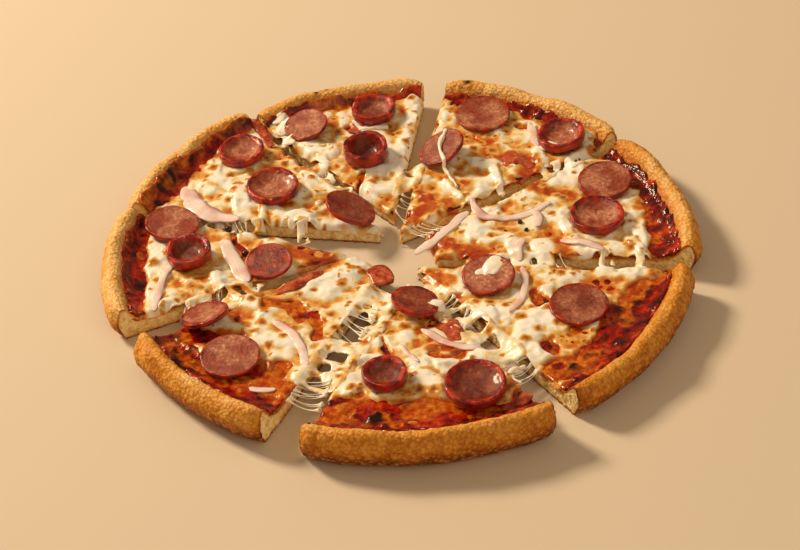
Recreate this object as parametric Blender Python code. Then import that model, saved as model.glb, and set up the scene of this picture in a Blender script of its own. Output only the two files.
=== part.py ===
"""Pan pizza, 34 cm across, cut into eight slices that have been drawn a little apart.

Each slice is a crust with a raised rim, a thin layer of sauce on it and a layer of melted cheese on that.
Slices of pepperoni, strips of red onion and folded bits of ham lie on the cheese.
The origin is under the middle of the pizza, on the surface that it rests on, and +Z is up.
"""
from math import atan2, cos, exp, hypot, pi, radians, sin

import bmesh
import bpy
from mathutils import Matrix, Vector

# Lengths are in millimetres up to the last step, which turns each mesh to metres.
MM = 0.001

# The crust, as a profile turned about the middle of the pan
RIM_RADIUS = 165.0         # the widest part of the wall
WALL_FLARE = 5.5           # how far the foot of the wall stands inside the widest part
CROWN_INSET = 7.0          # from the widest part in to the crown
RIM_INNER = 17.0           # from the widest part in to where the tray begins
TRAY_TOP = 10.0            # thickness of the crumb under the toppings
TIP_DIP = 3.0              # how much thinner a slice is at its tip
DIP_REACH = 70.0           # how far from the tip the thinning starts
TURN_STEPS = 66            # sides of the full turned ring
CORNER_IN = 4.5            # how far the wall draws in at the two corners of a slice
CORNER_DROP = 1.5          # how far the crown sinks there
CORNER_REACH = 9.0         # how far from a cut it starts to draw in
RIM_LUMP = 1.2             # how far the crown rises and falls along the rim

# The layers on it
GAP = 0.35                 # clearance between pieces that touch
SAUCE_THICK = 1.2
SAUCE_RADIUS = 152.5       # the sauce climbs the inside of the rim to here
CHEESE_RADIUS = 141.0      # mean outer edge of the cheese
CHEESE_WAVE = 4.0          # how far that edge wanders
CHEESE_THICK = 2.9
CHEESE_SWELL = 0.9
EDGE_CLIMB = 0.45          # how steeply its underside follows the sauce up the rim
CHEESE_CHORDS = 28         # sides of the full round edge before it wanders
CHEESE_CELL = 8.4          # spacing of the points on the cheese

# What lies on the cheese
DISC_SIDES = 16
DISC_THICK = 1.7
DISC_WALL = 1.3            # thickness of a curled edge
DISC_FLAT = 0.62           # share of the radius that stays flat
DISC_SINK = 0.6            # how far a pepperoni slice settles into the cheese
DISC_OVER_SAUCE = 1.5      # the least height of its low edge over the sauce
POCKET_HEIGHT = 14.0       # the pocket in the cheese is cut this high above the slice
STRIP_RINGS = 8
STRIP_SIDES = 6
STRIP_CLEAR = 0.75         # strips lie this far over the cheese, to clear its facets
STRIP_END = 0.45           # width of a strip's ends as a share of its middle
ONION_THICK = 2.0

# The middle of the bounding box, measured on the finished solids, which is moved to the origin
MIDDLE = (1.0, -2.0)

# Each slice: tip, the directions in degrees of its two cuts, the middle of its own part of the rim,
# the height of its rim, and how far in from the tip it is cut off blunt.
SLICES = {
    "a": dict(tip=(-8, 23), cuts=(125, 169), rim=(-1, 6), rise=22.0, blunt=0),
    "b": dict(tip=(-2, 39), cuts=(79, 129.5), rim=(3, 2), rise=22.0, blunt=0),
    "c": dict(tip=(1, 21), cuts=(29.5, 76), rim=(4, 3), rise=21.5, blunt=0),
    "d": dict(tip=(-13.5, 1.5), cuts=(-7, 30), rim=(6, -3), rise=22.0, blunt=33),
    "e": dict(tip=(9, -10), cuts=(302, 351), rim=(3, 0), rise=20.5, blunt=0),
    "f": dict(tip=(4, -29), cuts=(244, 301), rim=(3, -6), rise=24.0, blunt=0),
    "g": dict(tip=(10, 23), cuts=(211, 242.5), rim=(0, -2), rise=23.5, blunt=39),
    "h": dict(tip=(-29, 5), cuts=(161, 203.5), rim=(-4, 0), rise=22.0, blunt=0),
}

# Mounds of melted cheese: slice, place, radius and height
MOUNDS = [
    ("a", (-92, 72), 17, 1.6),
    ("a", (-52, 46), 15, 1.4),
    ("b", (-22, 66), 18, 1.6),
    ("b", (-66, 128), 10, 1.2),
    ("c", (20, 62), 16, 1.4),
    ("c", (60, 74), 14, 1.6),
    ("d", (70, 24), 18, 2.0),
    ("d", (132, 8), 13, 1.4),
    ("e", (62, -72), 22, 1.8),
    ("e", (118, -42), 14, 1.2),
    ("f", (6, -88), 20, 1.8),
    ("f", (34, -104), 15, 1.4),
    ("g", (-30, -38), 18, 1.8),
    ("g", (-78, -64), 14, 1.0),
    ("h", (-74, 8), 15, 1.4),
    ("h", (-118, -32), 12, 1.0),
]

# Pepperoni: the slices it lies on, place, radius, curl of the edge, tilt and the direction it faces, lift
PEPPERONI = [
    ("a", (-90, 101), 13.4, 3.6, 4, 250, 0.0),
    ("a", (-71, 63), 14.8, 3.4, 3, 260, 0.0),
    ("b", (-51, 123), 13.2, 1.0, 14, 215, 0.0),
    ("b", (-10, 136), 13.0, 4.2, 2, 270, 0.0),
    ("b", (-16, 93), 13.0, 7.2, 3, 280, 0.0),
    ("a", (-27, 37), 15.0, 1.2, 24, 8, -1.5),
    ("c", (56, 126), 16.2, 0.8, 5, 262, 0.3),
    ("c", (30, 88), 14.2, 1.2, 26, 185, -0.8),
    ("c", (101, 96), 14.0, 4.4, 6, 200, 0.0),
    ("d", (122, 50), 15.2, 1.2, 8, 255, 0.0),
    ("d", (114, 17), 15.0, 3.2, 4, 270, 0.0),
    ("ha", (-129, 33), 15.2, 1.0, 4, 0, 0.4),
    ("h", (-118, 3), 12.6, 5.0, 3, 250, 0.0),
    ("h", (-73, -6), 12.8, 1.0, 10, 255, 0.0),
    ("g", (-107, -54), 13.2, 1.6, 18, 131, -0.5),
    ("g", (-93, -86), 15.6, 1.0, 4, 262, 0.0),
    ("e", (49, -31), 14.4, 1.2, 10, 236, 0.6),
    ("e", (96, -60), 15.8, 1.2, 4, 262, 0.0),
    ("f", (7, -50), 13.2, 1.6, 13, 20, 0.0),
    ("f", (-11, -111), 11.9, 4.2, 3, 270, 0.0),
    ("f", (36, -122), 16.2, 3.4, 5, 262, 0.0),
]

# Strips of red onion: slice, points along the strip, width, lift off the cheese at each point
ONION = [
    ("a", [(-123, 69), (-111, 51), (-101, 45), (-89, 42)], 7.0, (0, 0, 0, 0)),
    ("h", [(-100, 24), (-94, 6), (-88, -8)], 6.5, (0, 0, 0)),
    ("h", [(-130, -8), (-133, -23), (-134, -37)], 4.6, (0, 0, 0)),
    ("g", [(-70, -58), (-62, -69), (-56, -82), (-56, -94)], 5.6, (0, 0, 0, 0)),
    ("g", [(-83, -109), (-76, -111), (-69, -112)], 4.2, (0, 0, 0)),
    ("d", [(9, -3), (20, 9), (30, 20), (41, 32)], 5.6, (0.8, 0.4, 0, 0)),
    ("d", [(46, 30), (56, 26), (70, 26), (86, 34)], 5.6, (2.6, 0.2, 0, 0.2)),
    ("c", [(80, 117), (84, 104), (85, 91)], 6.0, (0, 0.6, 0)),
    ("d", [(90, 2), (98, -3), (107, -8)], 5.0, (0, 0, 0)),
    ("e", [(67, -20), (68, -32), (66, -46), (58, -60)], 4.4, (0, 0, 0, 0)),
    ("f", [(8, -69), (18, -80), (28, -85), (37, -86)], 5.2, (0.2, 0, 0, 0)),
]

# Folded bits of ham and pepperoni: slice, points along the fold, width, thickness
HAM = [
    ("g", [(-70, -33), (-57, -24), (-45, -16)], 8.0, 3.0),
    ("f", [(20, -66), (24, -72), (28, -77)], 9.0, 2.4),
    ("f", [(56, -134), (60, -131), (62, -126)], 6.5, 2.2),
    ("c", [(66, 76), (76, 80), (84, 76)], 10.0, 2.6),
]


def clear_scene():
    """Remove the objects of the scene that the script is opened in."""
    for old in list(bpy.data.objects):
        bpy.data.objects.remove(old, do_unlink=True)


def material(name, colour, roughness):
    """A plain surface in one colour, given as red, green and blue from 0 to 1."""
    made = bpy.data.materials.new(name)
    made.use_nodes = True
    shader = made.node_tree.nodes["Principled BSDF"]
    shader.inputs["Base Color"].default_value = (*colour, 1.0)
    shader.inputs["Roughness"].default_value = roughness
    shader.inputs["Metallic"].default_value = 0.0
    made.diffuse_color = (*colour, 1.0)
    return made


def smoothstep(x):
    """Ease from 0 to 1."""
    x = min(max(x, 0.0), 1.0)
    return x * x * (3.0 - 2.0 * x)


def middle_line(cut):
    """The direction from a slice's tip along its middle."""
    middle = radians(sum(cut["cuts"]) / 2)
    return Vector((cos(middle), sin(middle), 0.0))


def tip_dip(cut, x, y):
    """How far the layers sink towards the tip of a slice, from a straight crease across it."""
    along = middle_line(cut).dot((x - cut["tip"][0], y - cut["tip"][1], 0.0)) - cut["blunt"]
    return TIP_DIP * max(0.0, 1.0 - along / DIP_REACH)


def swell(x, y):
    """Gentle rise and fall of the cheese, from -1 to 1."""
    return 0.5 * sin(0.16 * x + 1.3) * cos(0.13 * y) + 0.5 * sin(0.11 * y - 0.07 * x + 0.6)


def mound(letter, x, y):
    """Height that the mounds of melted cheese add."""
    total = 0.0
    for home, (mx, my), radius, height in MOUNDS:
        if home == letter:
            total += height * exp(-((x - mx) ** 2 + (y - my) ** 2) / (0.7 * radius) ** 2)
    return total


def sauce_top(letter, x, y):
    """Height of the flat part of the sauce."""
    return TRAY_TOP + GAP + SAUCE_THICK - tip_dip(SLICES[letter], x, y)


def cheese_top(letter, x, y):
    """Height of the cheese."""
    bulk = CHEESE_THICK + CHEESE_SWELL * swell(x, y) + mound(letter, x, y)
    return sauce_top(letter, x, y) + GAP + bulk


def crust_profile(rise):
    """The turned section of the crust: along its foot, up the wall, over the rim and in along the tray."""
    r = RIM_RADIUS
    crown = r - CROWN_INSET
    return [
        (0.0, 0.0),
        (r - WALL_FLARE - 2.5, 0.0),
        (r - WALL_FLARE, 1.2),
        (r - 2.0, 0.22 * rise),
        (r, 0.5 * rise),
        (r - 1.0, 0.75 * rise),
        (r - 3.6, 0.93 * rise),
        (crown, rise),
        (crown - 3.6, 0.95 * rise),
        (r - 13.6, 0.76 * rise),
        (r - RIM_INNER, 0.56 * rise),
        (r - RIM_INNER - 7.0, TRAY_TOP),
        (0.0, TRAY_TOP),
    ]


def crust_top(rise, radius):
    """Height of the crust inside its crown, read from the profile."""
    inner = crust_profile(rise)[7:]
    for (r0, z0), (r1, z1) in zip(inner, inner[1:]):
        if r1 <= radius <= r0:
            return z1 + (z0 - z1) * (radius - r1) / (r0 - r1)
    return TRAY_TOP


def turn_profile(points, middle):
    """A solid turned about an upright axis, from a profile that starts and ends on the axis."""
    bm = bmesh.new()
    verts = [bm.verts.new((middle[0] + r, middle[1], z)) for r, z in points]
    edges = [bm.edges.new(pair) for pair in zip(verts, verts[1:])]
    centre = (middle[0], middle[1], 0.0)
    bmesh.ops.spin(
        bm, geom=verts + edges, cent=centre, axis=(0, 0, 1), angle=2 * pi, steps=TURN_STEPS, use_merge=True
    )
    bmesh.ops.remove_doubles(bm, verts=bm.verts, dist=0.001)
    bmesh.ops.recalc_face_normals(bm, faces=bm.faces)
    return bm


def cut_planes(cut):
    """The planes of a slice's cuts, as a point and a direction that points out of the slice."""
    tip = Vector((*cut["tip"], 0.0))
    first, last = (radians(angle) for angle in cut["cuts"])
    planes = [
        (tip, Vector((sin(first), -cos(first), 0.0))),
        (tip, Vector((-sin(last), cos(last), 0.0))),
    ]
    if cut["blunt"]:
        planes.append((tip + middle_line(cut) * cut["blunt"], -middle_line(cut)))
    return planes


def slice_out(bm, cut, close):
    """Keep what lies between the cuts, close a solid's cut faces, and crease it where the tip sinks."""
    for point, outward in cut_planes(cut):
        geom = bm.verts[:] + bm.edges[:] + bm.faces[:]
        bmesh.ops.bisect_plane(bm, geom=geom, dist=0.0001, plane_co=point, plane_no=outward, clear_outer=True)
        if close:
            rim = [edge for edge in bm.edges if edge.is_boundary]
            bmesh.ops.edgeloop_fill(bm, edges=rim)
    crease = Vector((*cut["tip"], 0.0)) + middle_line(cut) * (cut["blunt"] + DIP_REACH)
    geom = bm.verts[:] + bm.edges[:] + bm.faces[:]
    bmesh.ops.bisect_plane(bm, geom=geom, dist=0.0001, plane_co=crease, plane_no=middle_line(cut))
    if close:
        bmesh.ops.recalc_face_normals(bm, faces=bm.faces)


def finish(name, bm, surface):
    """Turn a mesh in millimetres into a smooth-shaded object in metres, centred on the origin."""
    bmesh.ops.translate(bm, verts=bm.verts, vec=(-MIDDLE[0], -MIDDLE[1], 0.0))
    bmesh.ops.scale(bm, verts=bm.verts, vec=(MM, MM, MM))
    mesh = bpy.data.meshes.new(name)
    bm.to_mesh(mesh)
    bm.free()
    mesh.shade_smooth()
    mesh.set_sharp_from_angle(angle=radians(40))
    made = bpy.data.objects.new(name, mesh)
    made.data.materials.append(surface)
    bpy.context.scene.collection.objects.link(made)
    return made


def crust(letter, surface):
    """The bread of one slice, with its raised and uneven rim."""
    cut = SLICES[letter]
    bm = turn_profile(crust_profile(cut["rise"]), cut["rim"])
    sides = cut_planes(cut)[:2]
    for share in (1.0, 0.4):
        for point, outward in sides:
            geom = bm.verts[:] + bm.edges[:] + bm.faces[:]
            inside = point - outward * share * CORNER_REACH
            bmesh.ops.bisect_plane(bm, geom=geom, dist=0.0001, plane_co=inside, plane_no=outward)
    slice_out(bm, cut, close=True)
    middle = Vector((*cut["rim"], 0.0))
    for vert in bm.verts:
        x, y, z = vert.co
        out = Vector((x, y, 0.0)) - middle
        angle = atan2(out.y, out.x)
        near_rim = smoothstep((out.length - 150.0) / 8.0)
        high = smoothstep(z / cut["rise"])
        vert.co.z += RIM_LUMP * near_rim * high * (0.6 * sin(17 * angle) + 0.4 * sin(29 * angle + 1.0))
        vert.co.z -= tip_dip(cut, x, y) * min(1.0, z / TRAY_TOP)
        for point, outward in sides:
            depth = outward.dot(point - Vector((x, y, 0.0))) / CORNER_REACH
            corner = max(0.0, 1.0 - depth) ** 2
            outer = smoothstep((out.length - 155.0) / 9.0)
            vert.co -= out.normalized() * CORNER_IN * corner * outer
            vert.co.z -= CORNER_DROP * corner * near_rim * high
    return finish("crust_" + letter, bm, surface)


def sauce(letter, surface):
    """The thin layer of tomato sauce of one slice, which climbs the inside of the rim."""
    cut = SLICES[letter]
    rise = cut["rise"]
    radii = [0.0, RIM_RADIUS - RIM_INNER - 7.0, RIM_RADIUS - RIM_INNER, RIM_RADIUS - 13.6, SAUCE_RADIUS]
    under = [(r, crust_top(rise, r) + GAP) for r in radii]
    over = [(r, z + SAUCE_THICK) for r, z in reversed(under)]
    points = under + over
    bm = turn_profile(points, cut["rim"])
    slice_out(bm, cut, close=True)
    for vert in bm.verts:
        vert.co.z -= tip_dip(cut, vert.co.x, vert.co.y)
    return finish("sauce_" + letter, bm, surface)


def cheese(letter, surface, cutters):
    """The melted cheese of one slice: an uneven sheet with room for each pepperoni slice."""
    cut = SLICES[letter]
    mx, my = cut["rim"]
    cells = int(2 * RIM_RADIUS / CHEESE_CELL)
    bm = bmesh.new()
    bmesh.ops.create_grid(
        bm, x_segments=cells, y_segments=cells, size=RIM_RADIUS, matrix=Matrix.Translation((mx, my, 0.0))
    )
    slice_out(bm, cut, close=False)
    for step in range(CHEESE_CHORDS):
        angle = 2 * pi * step / CHEESE_CHORDS
        out = Vector((cos(angle), sin(angle), 0.0))
        geom = bm.verts[:] + bm.edges[:] + bm.faces[:]
        edge_point = Vector((mx, my, 0.0)) + out * CHEESE_RADIUS
        bmesh.ops.bisect_plane(
            bm, geom=geom, dist=0.0001, plane_co=edge_point, plane_no=out, clear_outer=True
        )
    bmesh.ops.remove_doubles(bm, verts=bm.verts, dist=2.0)
    for vert in bm.verts:
        dx, dy = vert.co.x - mx, vert.co.y - my
        radius, angle = hypot(dx, dy), atan2(dy, dx)
        wave = CHEESE_WAVE * (0.6 * sin(23 * angle) + 0.4 * sin(41 * angle + 2.0))
        grow = 1.0 + wave * (radius / CHEESE_RADIUS) ** 6 / CHEESE_RADIUS
        vert.co.x, vert.co.y = mx + dx * grow, my + dy * grow
    slice_out(bm, cut, close=False)
    base = bm.faces[:]
    lifted = bmesh.ops.extrude_face_region(bm, geom=base)["geom"]
    tops = {item for item in lifted if isinstance(item, bmesh.types.BMVert)}
    for vert in bm.verts:
        x, y = vert.co.x, vert.co.y
        past_tray = max(0.0, hypot(x - mx, y - my) - (RIM_RADIUS - RIM_INNER - 7.0))
        climb = EDGE_CLIMB * past_tray
        if vert in tops:
            vert.co.z = cheese_top(letter, x, y) + 0.5 * climb
        else:
            vert.co.z = sauce_top(letter, x, y) + GAP + climb
    bmesh.ops.recalc_face_normals(bm, faces=bm.faces)
    bmesh.ops.triangulate(bm, faces=bm.faces)
    made = finish("cheese_" + letter, bm, surface)
    for cutter in cutters:
        pocket = made.modifiers.new("pocket", "BOOLEAN")
        pocket.operation = "DIFFERENCE"
        pocket.solver = "EXACT"
        pocket.object = cutter
    return made


def disc_place(letter, x, y, radius, tilt, way, lift):
    """Where a pepperoni slice lies: it sinks a little into the cheese and leans by its tilt."""
    lean = radians(tilt)
    low_edge = sauce_top(letter, x, y) + DISC_OVER_SAUCE + radius * sin(lean)
    z = max(cheese_top(letter, x, y) - DISC_SINK, low_edge) + lift
    turn = Matrix.Rotation(radians(way), 4, "Z") @ Matrix.Rotation(lean, 4, "Y")
    return Matrix.Translation((x, y, z)) @ turn


def turned_disc(points):
    """A small turned piece from a profile that starts and ends on its axis."""
    bm = bmesh.new()
    verts = [bm.verts.new((r, 0.0, z)) for r, z in points]
    edges = [bm.edges.new(pair) for pair in zip(verts, verts[1:])]
    bmesh.ops.spin(
        bm, geom=verts + edges, cent=(0, 0, 0), axis=(0, 0, 1), angle=2 * pi, steps=DISC_SIDES, use_merge=True
    )
    bmesh.ops.remove_doubles(bm, verts=bm.verts, dist=0.001)
    bmesh.ops.recalc_face_normals(bm, faces=bm.faces)
    return bm


def pepperoni(number, item, surface):
    """One pepperoni slice with its curled edge, and the cutter for the pocket that it lies in."""
    letters, (x, y), radius, curl, tilt, way, lift = item
    place = disc_place(letters[0], x, y, radius, tilt, way, lift)
    bend = DISC_FLAT * radius
    bm = turned_disc([
        (0.0, 0.0),
        (bend, 0.0),
        (radius, curl),
        (radius, curl + DISC_THICK),
        (radius - DISC_WALL, curl + DISC_THICK + 0.2),
        (bend - 0.2 * curl, DISC_THICK),
        (0.0, DISC_THICK),
    ])
    bmesh.ops.transform(bm, matrix=place, verts=bm.verts)
    made = finish("pepperoni_%02d" % number, bm, surface)

    outside = radius + GAP
    room = turned_disc([(0.0, -GAP), (outside, -GAP), (outside, POCKET_HEIGHT), (0.0, POCKET_HEIGHT)])
    bmesh.ops.transform(room, matrix=place, verts=room.verts)
    cutter = finish("pocket_%02d" % number, room, surface)
    cutter.hide_render = True
    cutter.display_type = "WIRE"
    return made, cutter


def smooth_path(points, count):
    """Points spaced along a smooth curve through the given ones."""
    padded = [points[0]] + list(points) + [points[-1]]
    spans = len(points) - 1
    path = []
    for step in range(count):
        at = step * spans / (count - 1)
        i = min(int(at), spans - 1)
        t = at - i
        p0, p1, p2, p3 = (Vector(padded[i + k]) for k in range(4))
        path.append(0.5 * (2 * p1 + (p2 - p0) * t + (2 * p0 - 5 * p1 + 4 * p2 - p3) * t * t
                           + (3 * p1 - p0 - 3 * p2 + p3) * t * t * t))
    return path


def strip(name, letter, points, width, thick, lifts, surface):
    """A flat strip that follows the cheese, with rounded edges and narrowed ends."""
    last = STRIP_RINGS - 1
    path = smooth_path([(x, y, lift) for (x, y), lift in zip(points, lifts)], STRIP_RINGS)
    bm = bmesh.new()
    loops = []
    for i, spot in enumerate(path):
        ahead = path[min(i + 1, last)] - path[max(i - 1, 0)]
        along = Vector((ahead.x, ahead.y, 0.0)).normalized()
        across = Vector((-along.y, along.x, 0.0))
        taper = STRIP_END + (1.0 - STRIP_END) * sin(pi * i / last) ** 0.5
        reach = 0.5 * width * taper
        ground = max(cheese_top(letter, *(spot + across * side * reach).xy) for side in (-1, -0.5, 0, 0.5, 1))
        middle = Vector((spot.x, spot.y, ground + STRIP_CLEAR + 0.5 * thick + spot.z))
        loop = []
        for k in range(STRIP_SIDES):
            turn = 2 * pi * k / STRIP_SIDES
            offset = across * reach * cos(turn) + Vector((0.0, 0.0, 0.5 * thick * sin(turn)))
            loop.append(bm.verts.new(middle + offset))
        loops.append(loop)
    for loop, following in zip(loops, loops[1:]):
        for k in range(STRIP_SIDES):
            nxt = (k + 1) % STRIP_SIDES
            bm.faces.new((loop[k], loop[nxt], following[nxt], following[k]))
    bm.faces.new(loops[0])
    bm.faces.new(loops[-1])
    bmesh.ops.recalc_face_normals(bm, faces=bm.faces)
    return finish(name, bm, surface)


def build():
    """Make every piece."""
    clear_scene()
    bread = material("baked_crust", (0.72, 0.42, 0.13), 0.6)
    tomato = material("tomato_sauce", (0.40, 0.05, 0.01), 0.3)
    melted = material("melted_cheese", (0.85, 0.72, 0.42), 0.4)
    sausage = material("pepperoni", (0.45, 0.09, 0.05), 0.35)
    bulb = material("red_onion", (0.80, 0.58, 0.50), 0.35)
    cured = material("cooked_ham", (0.52, 0.17, 0.10), 0.4)

    pockets = {letter: [] for letter in SLICES}
    for number, item in enumerate(PEPPERONI, start=1):
        cutter = pepperoni(number, item, sausage)[1]
        for letter in item[0]:
            pockets[letter].append(cutter)
    for letter in SLICES:
        crust(letter, bread)
        sauce(letter, tomato)
        cheese(letter, melted, pockets[letter])
    for number, (letter, points, width, lifts) in enumerate(ONION, start=1):
        strip("onion_%02d" % number, letter, points, width, ONION_THICK, lifts, bulb)
    for number, (letter, points, width, thick) in enumerate(HAM, start=1):
        strip("ham_%02d" % number, letter, points, width, thick, (0,) * len(points), cured)


build()
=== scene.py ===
"""The looks of a pan pizza in eight slices: crust, sauce, melted cheese, pepperoni, red onion and ham.

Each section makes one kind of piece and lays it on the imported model. Lengths are in millimetres in the
model's own frame, with the origin under the middle of the pizza, until a piece is finished in metres.
"""
from itertools import product
from math import cos, pi, radians, sin

import bmesh
import bpy
import numpy as np
from mathutils import Matrix, Vector


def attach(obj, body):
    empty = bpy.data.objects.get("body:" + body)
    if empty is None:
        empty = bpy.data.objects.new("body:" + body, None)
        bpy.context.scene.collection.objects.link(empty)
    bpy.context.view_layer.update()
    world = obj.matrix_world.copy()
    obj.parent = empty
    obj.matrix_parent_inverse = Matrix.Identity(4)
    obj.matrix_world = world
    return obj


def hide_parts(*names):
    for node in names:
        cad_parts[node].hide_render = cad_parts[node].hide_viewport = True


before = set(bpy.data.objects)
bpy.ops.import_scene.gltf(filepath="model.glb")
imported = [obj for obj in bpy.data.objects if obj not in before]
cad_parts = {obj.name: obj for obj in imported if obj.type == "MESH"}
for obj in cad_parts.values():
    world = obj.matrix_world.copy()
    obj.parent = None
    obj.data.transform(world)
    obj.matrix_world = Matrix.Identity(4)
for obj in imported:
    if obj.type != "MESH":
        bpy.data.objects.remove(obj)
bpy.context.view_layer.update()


# Crust: bread dough baked in an oiled pan, so its wall and foot are fried golden and its rim is puffed up
# and pale tan. It is cut right through in eight, and the cuts show a creamy crumb under a thin skin.
MM = 0.001
RIM_RADIUS = 164.7
WALL_FLARE = 5.5
CROWN_INSET = 7.0
RIM_INNER = 17.0
TRAY_TOP = 10.0
TIP_DIP = 3.0
DIP_REACH = 70.0
TURN_STEPS = 360
CORNER_IN = 4.5
CORNER_DROP = 1.5
CORNER_REACH = 9.0
RIM_LUMP = 1.2
CRUST_VOXEL = 1.15
SKIN_INSET = 0.3

# Where the parts of the rim start, as radii from the middle of the rim
RIM_STARTS = 143.0
BLISTERS_START = 147.0
CROWN_STARTS = 150.0
STAIN_ENDS = 153.5
CORNERS_START = 155.0
WALL_STARTS = 157.0

# Each slice: tip, directions of its cuts in degrees, middle of its rim, height of its rim, blunted tip
SLICES = {
    "a": dict(tip=(-9, 25), cuts=(125, 169), rim=(-2, 8), rise=21.7, blunt=0),
    "b": dict(tip=(-3, 41), cuts=(79, 129.5), rim=(2, 4), rise=21.7, blunt=0),
    "c": dict(tip=(0, 23), cuts=(29.5, 76), rim=(3, 5), rise=21.2, blunt=0),
    "d": dict(tip=(-14.5, 3.5), cuts=(-7, 30), rim=(5, -1), rise=21.7, blunt=33),
    "e": dict(tip=(8, -8), cuts=(302, 351), rim=(2, 2), rise=20.2, blunt=0),
    "f": dict(tip=(3, -27), cuts=(244, 301), rim=(2, -4), rise=23.6, blunt=0),
    "g": dict(tip=(9, 25), cuts=(211, 242.5), rim=(-1, 0), rise=23.1, blunt=39),
    "h": dict(tip=(-30, 7), cuts=(161, 203.5), rim=(-5, 2), rise=21.7, blunt=0),
}

# Painted light on each slice's crust, paler towards the lamp; below 0 painted shade, darker away from it
CRUST_PAINTED_LIGHT = {"a": 0.2, "b": 0.14, "c": 0.1, "d": -0.08, "e": -0.2, "f": -0.08, "g": -0.04, "h": 0.2}

# Burnt spots on the crust: place, radius
CRUST_CHAR = [((-40, 160), 4.5), ((-46, 154), 2.5), ((47, 156), 3.5), ((43, 163), 2.0)]


def hashed(cell, seed):
    """A random number from 0 to 1 for each whole-number cell of space."""
    mixed = (cell[:, 0] * 73856093) ^ (cell[:, 1] * 19349663) ^ (cell[:, 2] * 83492791) ^ (seed * 2654435)
    mixed = ((mixed ^ (mixed >> 13)) * 1274126177) & 0xFFFFFFFF
    return ((mixed ^ (mixed >> 15)) & 0xFFFF) / 65535.0


def noise(points, size, seed=0):
    """Smooth noise from -1 to 1 with lumps of about that size."""
    place = points / size
    base = np.floor(place).astype(np.int64)
    t = place - base
    t = t * t * (3 - 2 * t)
    total = np.zeros(len(points))
    for corner in product((0, 1), repeat=3):
        weight = np.prod(np.where(corner, t, 1 - t), axis=1)
        total += weight * hashed(base + corner, seed)
    return 2 * total - 1


def domes(points, size, seed=0):
    """Round domes from 0 to 1, scattered about that far apart."""
    place = points / size
    base = np.floor(place).astype(np.int64)
    best = np.zeros(len(points))
    for corner in product((-1, 0, 1), repeat=3):
        cell = base + corner
        centre = cell + np.stack([hashed(cell, seed + k) for k in (1, 2, 3)], axis=1)
        radius = 0.3 + 0.45 * hashed(cell, seed + 4)
        gap = ((place - centre) ** 2).sum(axis=1)
        best = np.maximum(best, 1 - gap / radius ** 2)
    return best


def ease(x):
    """Ease from 0 to 1."""
    x = np.clip(x, 0, 1)
    return x * x * (3 - 2 * x)


def flat(xy):
    """Places on the plane as points at height 0."""
    return np.column_stack([xy, np.zeros(len(xy))])


def stroke(xy, points, width):
    """1 on the line through the points, down to 0 at that distance from it."""
    spots = np.array(points, float).reshape(-1, 2)
    nearest = np.full(len(xy), 1e9)
    ends = spots[1:] if len(spots) > 1 else spots
    for start, end in zip(spots, ends):
        run = end - start
        t = np.clip(((xy - start) @ run) / max(run @ run, 1e-9), 0, 1)
        off = xy - start - t[:, None] * run
        nearest = np.minimum(nearest, np.hypot(off[:, 0], off[:, 1]))
    return np.clip(1 - nearest / width, 0, 1)


def strokes(xy, listed, soft=2.0):
    """The strongest of several strokes, each as its points, width and strength, with soft edges."""
    best = np.zeros(len(xy))
    for points, width, strength in listed:
        best = np.maximum(best, strength * ease(soft * stroke(xy, points, width)))
    return best


def smooth_route(points, count):
    """Places evenly counted along a smooth curve through the given ones."""
    spots = np.array(points, float)
    spots = np.vstack([2 * spots[0] - spots[1], spots, 2 * spots[-1] - spots[-2]])
    at = np.linspace(0, len(points) - 1.0001, count)
    i = at.astype(int)
    t = (at - i)[:, None]
    p0, p1, p2, p3 = (spots[i + k] for k in range(4))
    bend = 2 * p0 - 5 * p1 + 4 * p2 - p3
    return 0.5 * (2 * p1 + (p2 - p0) * t + bend * t ** 2 + (3 * p1 - p0 - 3 * p2 + p3) * t ** 3)


def middle_line(cut):
    """The direction from a slice's tip along its middle."""
    middle = radians(sum(cut["cuts"]) / 2)
    return np.array((cos(middle), sin(middle)))


def cut_planes(cut):
    """The planes that bound a slice, each as a point and a direction out of the slice."""
    tip = np.array(cut["tip"], float)
    first, last = (radians(angle) for angle in cut["cuts"])
    planes = [(tip, np.array((sin(first), -cos(first)))), (tip, np.array((-sin(last), cos(last))))]
    if cut["blunt"]:
        planes.append((tip + middle_line(cut) * cut["blunt"], -middle_line(cut)))
    return planes


def depth_in(cut, xy):
    """How far inside its nearest cut each place of a slice lies."""
    return np.min([(point - xy) @ outward for point, outward in cut_planes(cut)], axis=0)


def from_rim_middle(cut, xy):
    """Distance and direction from the middle of a slice's rim."""
    dx, dy = (xy - cut["rim"]).T
    return np.hypot(dx, dy), np.arctan2(dy, dx)


def tip_dip(cut, xy):
    """How far the layers sink towards the tip."""
    along = (xy - cut["tip"]) @ middle_line(cut) - cut["blunt"]
    return TIP_DIP * np.maximum(0, 1 - along / DIP_REACH)


def crust_profile(rise):
    """The turned section, from the middle of the foot up the wall, over the rim and in along the tray."""
    r = RIM_RADIUS
    wall = [
        (r - WALL_FLARE, 1.2), (r - 2.0, 0.22 * rise), (r, 0.5 * rise), (r - 1.0, 0.75 * rise),
        (r - 3.6, 0.93 * rise), (r - CROWN_INSET, rise), (r - 10.6, 0.95 * rise), (r - 13.6, 0.76 * rise),
        (r - RIM_INNER, 0.56 * rise), (r - 24.0, TRAY_TOP),
    ]
    return np.vstack([[(0, 0), (r - WALL_FLARE - 2.5, 0)], smooth_route(wall, 50), [(0, TRAY_TOP)]])


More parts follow.
